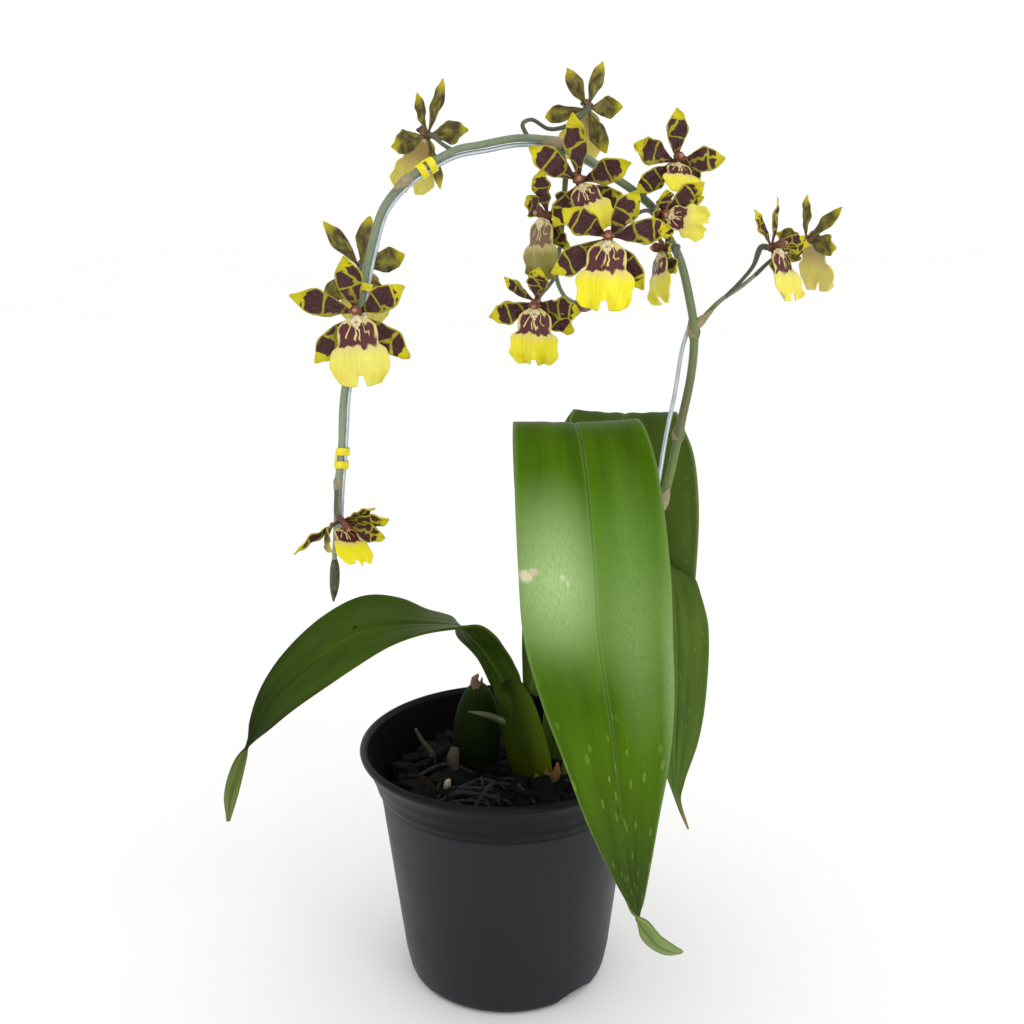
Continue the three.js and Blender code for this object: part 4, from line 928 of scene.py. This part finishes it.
tie = {
    "width": 3.1, "thickness": 0.65, "clearance": 0.3, "bridge": 2.4, "grid": (64, 20),
    "places": {"tie_upper": (0.6845, 0.6925), "tie_middle": (0.791,), "tie_lower": (0.914, 0.924)},
}


def stemRadiusAt(t):
    swell = sum(0.55 * math.exp(-((t - place) / 0.006) ** 2) for place, _, _ in stem["nodes"])
    return alongStations(stem["radii"], t) + swell


def besideStem(t, distance, turn):  # a place beside the stem, inside its arch, turned toward its back
    tangent = directionAt(stemPath, t)
    inward = Vector((-tangent.z, 0, tangent.x)).normalized()
    return alongPath(stemPath, t) + inward * distance * math.cos(turn) + Vector((0, distance * math.sin(turn), 0))


def wireTurn(t):
    return math.radians(alongStations(wire["turns"], (t - wire["follow"][0]) / wire["turnsOver"]))


def aboutStem(t):  # the stem's middle, direction and radius there, and the way to the wire
    centre = alongPath(stemPath, t)
    towardWire = (besideStem(t, 1, wireTurn(t)) - centre).normalized()
    return centre, directionAt(stemPath, t), alongStations(stem["radii"], t), towardWire


def wireGap(t):
    return alongStations(stem["radii"], t) + wire["radius"] + wire["gap"]


def addBract(shape, path, radii, t, length, facing):  # a scale wrapped close round a node, its point up the stem
    reach = length / sum((b - a).length for a, b in zip(path, path[1:]))
    start = max(t - 0.35 * reach, 0)
    reference = Vector((0, 1, 0))

    def surfaceAt(u, v):
        place = start + v * reach * (1 - 0.25 * abs(u) ** 1.5)
        tangent = directionAt(path, place)
        outward = (reference - tangent * tangent.dot(reference)).normalized()
        sideways = tangent.cross(outward)
        width = math.pi * (0.92 * (1 - v) ** 0.7 + 0.05)
        angle = math.radians(facing) + u * width
        radius = alongStations(radii, place) + 0.3 + 0.45 * math.exp(-((v - 0.35) / 0.25) ** 2) + 0.2 * v ** 3
        return alongPath(path, place) + (outward * math.cos(angle) + sideways * math.sin(angle)) * radius

    addSheet(shape, 20, 14, surfaceAt, finish=1, flip=True)


def buildSpike():
    shape = newShape()
    rough = roughened(0.03, 1, 60)
    addTube(shape, stemPath, stemRadiusAt, 24, ripple=rough)
    for points, radii in stem["branches"]:
        addRod(shape, points, 70, radii, 16, ripple=rough)
    budFolds = lambda angle, v: 1 + 0.06 * math.cos(3 * angle + 4 * v)
    for bud in stem["buds"]:
        addRod(shape, *bud, ripple=budFolds)
    for bloom in blooms:
        place = bloomFrame(bloom)
        ends = [place @ Vector((0, 0, -5)), place @ Vector((0, 0, -2.0))]
        points = [Vector(p) for p in bloom["pedicel"]] + ends
        addRod(shape, points, 36, stem["pedicelRadii"], 14, finish=4, ripple=rough)
    finishPiece("flowerStem", shape, [stemWax, papery, budSkin, purpleBud, pedicelSkin], ["flower_spike"])
    scales = newShape()
    for node in stem["nodes"]:
        addBract(scales, stemPath, stem["radii"], *node)
    for (points, radii), sleeve in zip(stem["branches"], stem["sleeves"]):
        addBract(scales, evenPath(points, 70), radii, *sleeve)
    finishPiece("bracts", scales, [freshBract] * 3, thickness=0.2)


def buildWire():
    points, (low, high) = list(wire["foot"]), wire["follow"]
    for i in range(wire["points"]):
        t = low + (high - low) * i / (wire["points"] - 1)
        points.append(besideStem(t, wireGap(t), wireTurn(t)))
    shape = newShape()
    addRod(shape, points, 360, (wire["radius"], wire["radius"]), 16)
    finishPiece("supportWire", shape, [wireCoat], ["support_wire"])


def buildTies():
    for node, places in tie["places"].items():
        shape = newShape()
        for t in places:
            centre, tangent, stemHere, towardWire = aboutStem(t)
            across = tangent.cross(towardWire)
            inner = (wireGap(t) + stemHere + wire["radius"]) / 2 + tie["clearance"]
            innerAcross = (stemHere + tie["clearance"]) * 1.06
            middle = centre + towardWire * ((wireGap(t) - stemHere + wire["radius"]) / 2)

            def surfaceAt(u, v):  # round the oval by u, round the strip's own section by v
                angle, turn = math.pi * (u + 1), 2 * math.pi * v
                flat = lambda c: math.copysign(abs(c) ** 0.45, c)
                outward = tie["thickness"] / 2 * (1 + flat(math.cos(turn)))
                lift = tie["width"] / 2 * flat(math.sin(turn)) + 0.25 * math.sin(2 * angle)
                along = towardWire * ((inner + outward) * math.cos(angle))
                return middle + along + across * ((innerAcross + outward) * math.sin(angle)) + tangent * lift

            made = addSheet(shape, *tie["grid"], surfaceAt)
            bmesh.ops.remove_doubles(shape, verts=made, dist=1e-3)
        if len(places) > 1:  # a bridge joins the two strips
            centre, tangent, stemHere, towardWire = aboutStem(sum(places) / 2)
            start, reach = centre - towardWire * (stemHere + 0.8), tangent * tie["bridge"]
            addRod(shape, (start - reach, start - towardWire * 0.2, start + reach), 12, (0.4, 0.4), 10)
        bmesh.ops.recalc_face_normals(shape, faces=shape.faces)
        finishPiece(pieceName(node), shape, [tiePlastic], [node])


# hub: where the tepals meet. faces: the way a bloom looks, its turn from -Y and its rise. tepals: clock angle,
# length, half width, lift, curl, for the dorsal sepal, right petal, right sepal, left sepal and left petal.
# lip: clock angle, lift, curl, size. pedicel: from the stem toward the back of the bloom.
blooms = (
    {"hub": (-57, -20, 302), "faces": (0, 0), "lip": (176, 32, 45, 1.05),
     "tepals": ((-10, 23, 5.3, 14, 10), (61, 24, 5, 34, 30), (131, 27, 4.8, 4, 8), (-138, 26, 4.8, 8, 8),
                (-74, 27, 5, 8, 5)),
     "pedicel": ((-59, -13, 293), (-58.6, -14, 297))},
    {"hub": (-57, 1, 318), "faces": (180, 0), "lip": (180, 35, 45, 0.9),
     "tepals": ((-9, 23, 4, 15, -20), (38, 24, 3.2, 5, 5), (129, 22, 4, 8, 10), (-150, 20, 4, 8, 10),
                (-73, 19, 4.6, 20, 40)),
     "pedicel": ((-52.8, -10.3, 323), (-54.5, -8, 320.5))},
    {"hub": (-29, 5, 370), "faces": (-150, 5), "lip": (171, 30, 40, 0.88),
     "tepals": ((30, 21, 2.1, -15, 25), (-12, 22.5, 2.4, -15, -10), (-83, 19, 4.4, 5, 5), (-162, 22, 2.4, 2, 0),
                (108, 15.5, 4.6, 17, 12)),
     "pedicel": ((-19, -2, 364), (-23, -1.5, 366.5))},
    {"hub": (36, 24, 381), "faces": (180, 5), "lip": (172, 42, 45, 0.85),
     "tepals": ((29, 19, 3.2, -15, 10), (-20, 20, 2.8, 10, -10), (-89, 17, 4.2, 30, 10), (-155, 20, 3.6, 8, 5),
                (101, 22, 3.4, 35, 110)),
     "pedicel": ((11, 2, 369), (9, 6, 374), (13, 11, 376), (20, 14, 372.5), (28, 15, 374))},
    {"hub": (31, -12, 351.5), "faces": (0, -5), "lip": (158, 38, 30, 0.75),
     "tepals": ((-7, 26, 4.4, 2, 5), (67, 23, 4.8, 35, 15), (120, 23, 4.6, 12, 10), (-150, 20, 4.2, -2, 5),
                (-56, 24, 4.8, 10, 10)),
     "pedicel": ((26, 7.6, 355), (31, 2, 354.5))},
    {"hub": (19, 0, 338.5), "faces": (-50, -5), "lip": (178, 28, 45, 0.92),
     "tepals": ((-8, 18, 4.6, 6, 8), (-62, 13.5, 4.6, 15, 25), (50, 14, 4.4, -25, 5), (-150, 17, 4.2, -5, 5),
                (152, 16, 3.6, -8, 5)),
     "pedicel": ((25.6, 12.6, 337), (24, 7, 338))},
    {"hub": (41, -30, 331), "faces": (-8, -8), "lip": (-177, 36, 45, 1),
     "tepals": ((32, 22, 4.6, 19, 10), (80, 24, 4.6, 7, 5), (145, 24, 4.8, 14, 10), (-122, 26, 4.8, 10, 10),
                (-53, 24, 5, 38, 15)),
     "pedicel": ((66, 11.5, 335), (60, 4, 340), (52, -10, 338), (46, -20, 334))},
    {"hub": (71, 7, 359), "faces": (8, 5), "lip": (-174, 56, 20, 0.66),
     "tepals": ((-2, 21, 4.2, 15, 5), (88, 20, 4.8, 35, 15), (125, 17, 4.2, -25, 5), (-125, 21, 4.2, 12, 8),
                (-70, 20, 5, 15, 5)),
     "pedicel": ((58, 10.3, 345), (62, 12, 351), (67, 13.5, 356))},
    {"hub": (64, -8, 339), "faces": (20, -5), "lip": (104, 42, 15, 0.62),
     "tepals": ((48, 20, 4, 22, 5), (72, 20, 3.6, 0, 5), (178, 10, 3.6, 30, 10), (-100, 13, 3.6, 50, 10),
                (-20, 14, 3.6, 45, 10)),
     "pedicel": ((62.6, 11, 341.5), (63.4, 4, 341))},
    {"hub": (67, -2, 325), "faces": (-65, -10), "lip": (165, 40, 50, 0.8),
     "tepals": ((12, 9, 3.4, -5, 5), (84, 13, 3.2, 30, 10), (124, 15, 3.2, 22, 10), (-145, 15, 3.4, -12, 5),
                (-75, 10, 3.4, -10, 5)),
     "pedicel": ((73.5, 13, 322), (72, 5, 324))},
    {"hub": (14, -12, 305), "faces": (-12, -25), "lip": (-177, 40, 45, 0.9),
     "tepals": ((5, 14, 4.4, -20, 0), (94, 19, 4.6, 20, 10), (128, 19, 4.4, 14, 8), (-104, 20, 4.6, 16, 8),
                (-66, 18, 2.6, -20, 20)),
     "pedicel": ((23, 12, 314), (19, 2, 310))},
    {"hub": (110.5, 3, 325.2), "faces": (45, 0), "lip": (-179, 37, 30, 0.82),
     "tepals": ((16, 20.5, 2.1, -2, 8), (60, 14, 2.6, 52, 0), (84, 15, 3.4, 50, 14), (-170, 14, 2.8, 20, 5),
                (-36, 18.5, 2.2, -6, 0)),
     "pedicel": ((94, 13, 304.4), (99.8, 12, 310.7), (104.6, 10, 317.4))},
    {"hub": (127.5, 16, 327.3), "faces": (125, 5), "lip": (176, 34, 40, 0.84),
     "tepals": ((-52, 22, 2.6, 10, 10), (-2, 18.5, 2.1, -6, -15), (-100, 16, 4.2, 5, 8), (150, 12, 3.2, -30, 8),
                (62, 13, 3.2, -45, 10)),
     "pedicel": ((106, 12, 313.5), (111.7, 12, 319), (117, 12.5, 323))},
    {"hub": (-66, -26, 219), "faces": (30, -35), "lip": (-168, 94, 12, 0.72),
     "tepals": ((38, 17, 3.2, 25, 10), (62, 20, 4, 34, 12), (98, 19, 4.4, 38, 10), (-106, 24, 2.6, 14, -10),
                (-92, 20, 4.2, 8, -100)),
     "pedicel": ((-67.9, -17.2, 231.6), (-68.4, -20, 227))},
)
bloomForm = {
    "rootRadius": 1.7, "tepalThickness": 0.55, "lipThickness": 0.5, "lipLength": 27,
    "lipHalfWidths": (2.6, 5.0, 6.9, 7.4, 7.6, 7.5, 7.7, 10.0, 10.9, 11.0, 10.9, 10.9, 10.8, 10.3, 9.2),
    "ruffle": 0.9, "waves": 3.2, "twist": 38, "lipRuffle": 1.1, "tepalGrid": (16, 40), "lipGrid": (44, 44),
    # the callus on the lip's base, each ball across and along it and its radius, and the column out and forward
    "callus": ((0, 0.03, 1.5), (-0.28, 0.07, 1.0), (0.28, 0.07, 1.0), (-0.1, 0.12, 0.85), (0.12, 0.13, 0.85),
               (0, 0.17, 0.7)),
    "column": ((0.4, 0.5), (1.5, 3.8), (2.1, 6.4)), "columnRadii": (1.7, 1.5, 1.4, 1.6, 2.0, 1.9, 1.1),
    "seed": 400,
    # how pale each lip is, bloom by bloom; above 0.85, as for bloom 06, it paints shade instead
    "palenessAndShade": (0.8, 0.5, 0.45, 0.5, 0.3, 0.97, 0.02, 0.3, 0.6, 0.45, 0.12, 0.6, 0.7, 0.02),
}


def bloomFrame(bloom):
    turn, rise = [math.radians(angle) for angle in bloom["faces"]]
    face = Vector((math.sin(turn) * math.cos(rise), -math.cos(turn) * math.cos(rise), math.sin(rise)))
    right = Vector((math.cos(turn), math.sin(turn), 0))
    up = face.cross(right)
    return Matrix.Translation(bloom["hub"]) @ Matrix((right, up, face)).transposed().to_4x4()


def clockAxes(degrees):  # out from a bloom's middle at a clock angle, and across it
    turn = math.radians(degrees)
    return Vector((math.sin(turn), math.cos(turn), 0)), Vector((math.cos(turn), -math.sin(turn), 0))


def curledPath(s, length, lift, curl):  # out and toward the viewer, at arc length s on an evenly curling path
    start, bend = math.radians(lift), math.radians(curl) / length
    if abs(bend) < 1e-6:
        return s * math.cos(start), s * math.sin(start)
    here = start - bend * s
    return (math.sin(start) - math.sin(here)) / bend, (math.cos(here) - math.cos(start)) / bend


def addTepal(shape, tepal, place, pick):
    angle, length, halfWidth, lift, curl = tepal
    outward, side = clockAxes(angle)
    phases = [pick.uniform(0, 6.28) for _ in range(4)]
    twist = math.radians(pick.uniform(-bloomForm["twist"], bloomForm["twist"]))
    root, waves = bloomForm["rootRadius"], bloomForm["waves"]
    ruffle = bloomForm["ruffle"] * pick.uniform(0.7, 1.3) * min(halfWidth / 4.4, 1) ** 1.5

    def surfaceAt(u, v):
        s = root + v * (length - root)
        out, forward = curledPath(s, length, lift, curl)
        share = 0.13 * (1 - v) ** 2 + math.sin(math.pi * v ** 1.3) + 0.25 * v ** 6
        share *= math.sqrt(max(1 - v ** 9, 0)) + 0.02
        share *= 1 + 0.07 * math.sin(2 * math.pi * 2.3 * v + phases[0] + (2 if u > 0 else 0))
        width = halfWidth * share
        wave = math.sin(2 * math.pi * waves * v + phases[1] + (phases[2] if u > 0 else 0))
        rise = 0.1 * width * u * u + ruffle * u * u * wave * smoothStep(0.08, 0.35, v)
        rise -= 0.35 * math.exp(-(u / 0.14) ** 2) * smoothStep(1, 0.7, v)
        rise += 0.5 * math.sin(2 * math.pi * 1.4 * v + phases[3]) * smoothStep(0.1, 0.5, v)
        roll = twist * smoothStep(0.45, 1, v)
        across = u * width * math.cos(roll)
        return place @ (outward * out + side * across + Vector((0, 0, forward + rise + u * width * math.sin(roll))))

    addSheet(shape, *bloomForm["tepalGrid"], surfaceAt, seed=pick.uniform(0, 60))


def lipSurface(lip, place, pick):
    angle, lift, curl, size = lip
    outward, side = clockAxes(angle)
    start = outward * 0.8 + Vector((0, 0, 3.0))
    length = bloomForm["lipLength"] * size
    phase = pick.uniform(0, 6.28)
    ruffle = bloomForm["lipRuffle"] * size

    def surfaceAt(u, v):
        spread = abs(u)
        edge = 1 - 0.16 * math.exp(-(u / 0.17) ** 6) - 0.04 * spread ** 2 - 0.09 * spread ** 8
        out, forward = curledPath(v * length * (1 + (edge - 1) * v * v), length, lift, curl)
        width = size * smoothStations(bloomForm["lipHalfWidths"], v)
        width *= 1 + 0.05 * math.sin(14 * v + phase) * smoothStep(0.4, 0.8, v)
        droop = -1.6 * u * u * math.sin(math.pi * v) + 0.8 * v * v * math.cos(2 * math.pi * u)
        droop += ruffle * spread ** 2 * v * v * math.sin(15 * v + phase + (1 if u > 0 else 0))
        droop += 0.8 * ruffle * smoothStep(0.7, 1, v) * math.sin(8.5 * u + phase)
        return place @ (start + outward * out + side * (u * width) + Vector((0, 0, forward + droop)))

    return surfaceAt


def buildBloom(number, bloom):
    pick = random.Random(bloomForm["seed"] + number)
    place = bloomFrame(bloom)
    label = f"{number:02d}"
    shape = newShape()
    for tepal in bloom["tepals"]:
        addTepal(shape, tepal, place, pick)
    finishPiece("tepals" + label, shape, [tepalUpper, tepalUnder], [f"bloom_{label}_tepals"],
                thickness=bloomForm["tepalThickness"])

    shape = newShape()
    surfaceAt = lipSurface(bloom["lip"], place, pick)
    addSheet(shape, *bloomForm["lipGrid"], surfaceAt, seed=pick.randrange(60) + bloomForm["palenessAndShade"][number - 1])
    finishPiece("lip" + label, shape, [lipUpper, lipUnder], [f"bloom_{label}_lip"],
                thickness=bloomForm["lipThickness"])

    # The callus on the lip's base, and the column with its wings and anther cap above it.
    shape = newShape()
    turnOnly = place.to_3x3().to_4x4()
    size = bloom["lip"][3]
    for u, v, r in bloomForm["callus"]:
        spot = surfaceAt(u, v) + turnOnly @ Vector((0, 0, 0.5))
        addBall(shape, spot, (r * size, r * size * 1.1, r * size * 0.9), turnOnly, finish=1)
    opposite = bloom["lip"][0] + 180
    away, sideways = clockAxes(opposite)
    column = [place @ (away * out + Vector((0, 0, forward))) for out, forward in bloomForm["column"]]
    addRod(shape, column, 20, bloomForm["columnRadii"], 20)
    clock = turnOnly @ Matrix.Rotation(-math.radians(opposite), 4, "Z")
    for turned in (-1, 1):
        wing = place @ (away * 1.5 + sideways * 1.7 * turned + Vector((0, 0, 5.2)))
        addBall(shape, wing, (1.1, 0.9, 0.7), clock)
    addBall(shape, place @ (away * 1.9 + Vector((0, 0, 6.7))), (1.0, 0.9, 0.7), clock, finish=2, sides=14)
    addBall(shape, place @ Vector((0, 0, -0.3)), (1.9, 1.9, 1.8), turnOnly, sides=16)
    finishPiece("column" + label, shape, [columnSkin, callusWax, antherWax])


print("pot and medium")
buildPot()
buildMedium()
buildRoots()
buildStick()
print("pseudobulbs")
# the last number sets how dark the painted shade on each skin's back and left side is
oldSkin = bulbSkin("oldBulbSkin", bulbShapes["old"]["colours"], 0.8)
newSkin = bulbSkin("newBulbSkin", bulbShapes["new"]["colours"], 0.4)
neckSkin = bulbSkin("leafNeck", ((0.0, "#2c3c08"), (1.0, "#2f400f")), 0.9)
shootSkin = plainSkin("youngShootSkin", "#333c1c", "#4c5630", 6.0, 0.5)
scaleSkin = driedWood("dryScale", "#4f3f1c", "#8d6a38")
buildBulb("old", "backBulb", "pseudobulb_old", oldSkin, oldBulbTip, [papery])
buildBulb("new", "frontBulb", "pseudobulb_new", newSkin, newBulbExtras, [shootSkin, scaleSkin, neckSkin])
print("leaves")
for node, leaf in leafShapes.items():
    buildLeaf(node, leaf)
print("flower spike")
buildSpike()
buildWire()
buildTies()
print("blooms")
for i, bloom in enumerate(blooms):
    buildBloom(i + 1, bloom)


studio = {
    "floorRadius": 8.0, "floor": "#fbfbfa", "worldStrength": 1.05,
    # place, size across and up, what it points at, power
    "lights": (
        ("keyLight", (0.9, -1.0, 1.3), (0.7, 0.7), (0.0, 0.0, 0.22), 4),
        ("frontLight", (0.42, -1.2, 0.14), (0.8, 0.3), (0.02, 0.0, 0.2), 2),
    ),
}


def buildFloor():
    shape = bmesh.new()
    bmesh.ops.create_circle(shape, cap_ends=True, segments=96, radius=studio["floorRadius"])
    bmesh.ops.translate(shape, vec=(0, 0, -0.0003), verts=shape.verts)  # just clear of the pot's foot
    floor = addObject("floor", shape, 1.0)
    add, finish = startMaterial("paintedBoard", 1.45, 0.1, 0.9)
    colour = add("ValToRGB", clouds(add, 1000 / 3, 2.0), ramp=[(0.2, "#f8f8f7"), (0.8, studio["floor"])])
    floor.data.materials.append(finish(colour))


def buildLights():
    world = bpy.data.worlds.new("studio")
    world.use_nodes = True
    world.node_tree.nodes["Background"].inputs["Color"].default_value = (1, 1, 1, 1)
    world.node_tree.nodes["Background"].inputs["Strength"].default_value = studio["worldStrength"]
    scene.world = world
    for name, place, size, target, power in studio["lights"]:
        lamp = bpy.data.lights.new(name, "AREA")
        lamp.shape, lamp.size, lamp.size_y, lamp.energy = "RECTANGLE", size[0], size[1], power
        holder = bpy.data.objects.new(name, lamp)
        holder.location = place
        holder.rotation_euler = (Vector(target) - Vector(place)).to_track_quat("-Z", "Y").to_euler()
        scene.collection.objects.link(holder)


view = {"place": (0, -515, 349.5), "pitch": 14.6, "yaw": 0.41, "roll": -0.4, "focal": 1245, "width": 1024}


def buildCamera():
    pitch, yaw, roll = [math.radians(view[key]) for key in ("pitch", "yaw", "roll")]
    ahead = Vector((math.sin(yaw) * math.cos(pitch), math.cos(yaw) * math.cos(pitch), -math.sin(pitch)))
    level = ahead.cross(Vector((0, 0, 1))).normalized()
    upright = level.cross(ahead)
    right = level * math.cos(roll) + upright * math.sin(roll)
    up = upright * math.cos(roll) - level * math.sin(roll)
    lens = bpy.data.cameras.new("camera")
    lens.sensor_width = 36
    lens.lens = view["focal"] / view["width"] * 36
    lens.clip_start, lens.clip_end = 0.01, 50
    holder = bpy.data.objects.new("camera", lens)
    turned = Matrix((right, up, -ahead)).transposed().to_4x4()
    holder.matrix_world = Matrix.Translation(Vector(view["place"]) * mm) @ turned
    scene.collection.objects.link(holder)
    scene.camera = holder


print("floor, light and camera")
buildFloor()
buildLights()
buildCamera()
scene.view_settings.view_transform = "Standard"
bpy.context.view_layer.update()
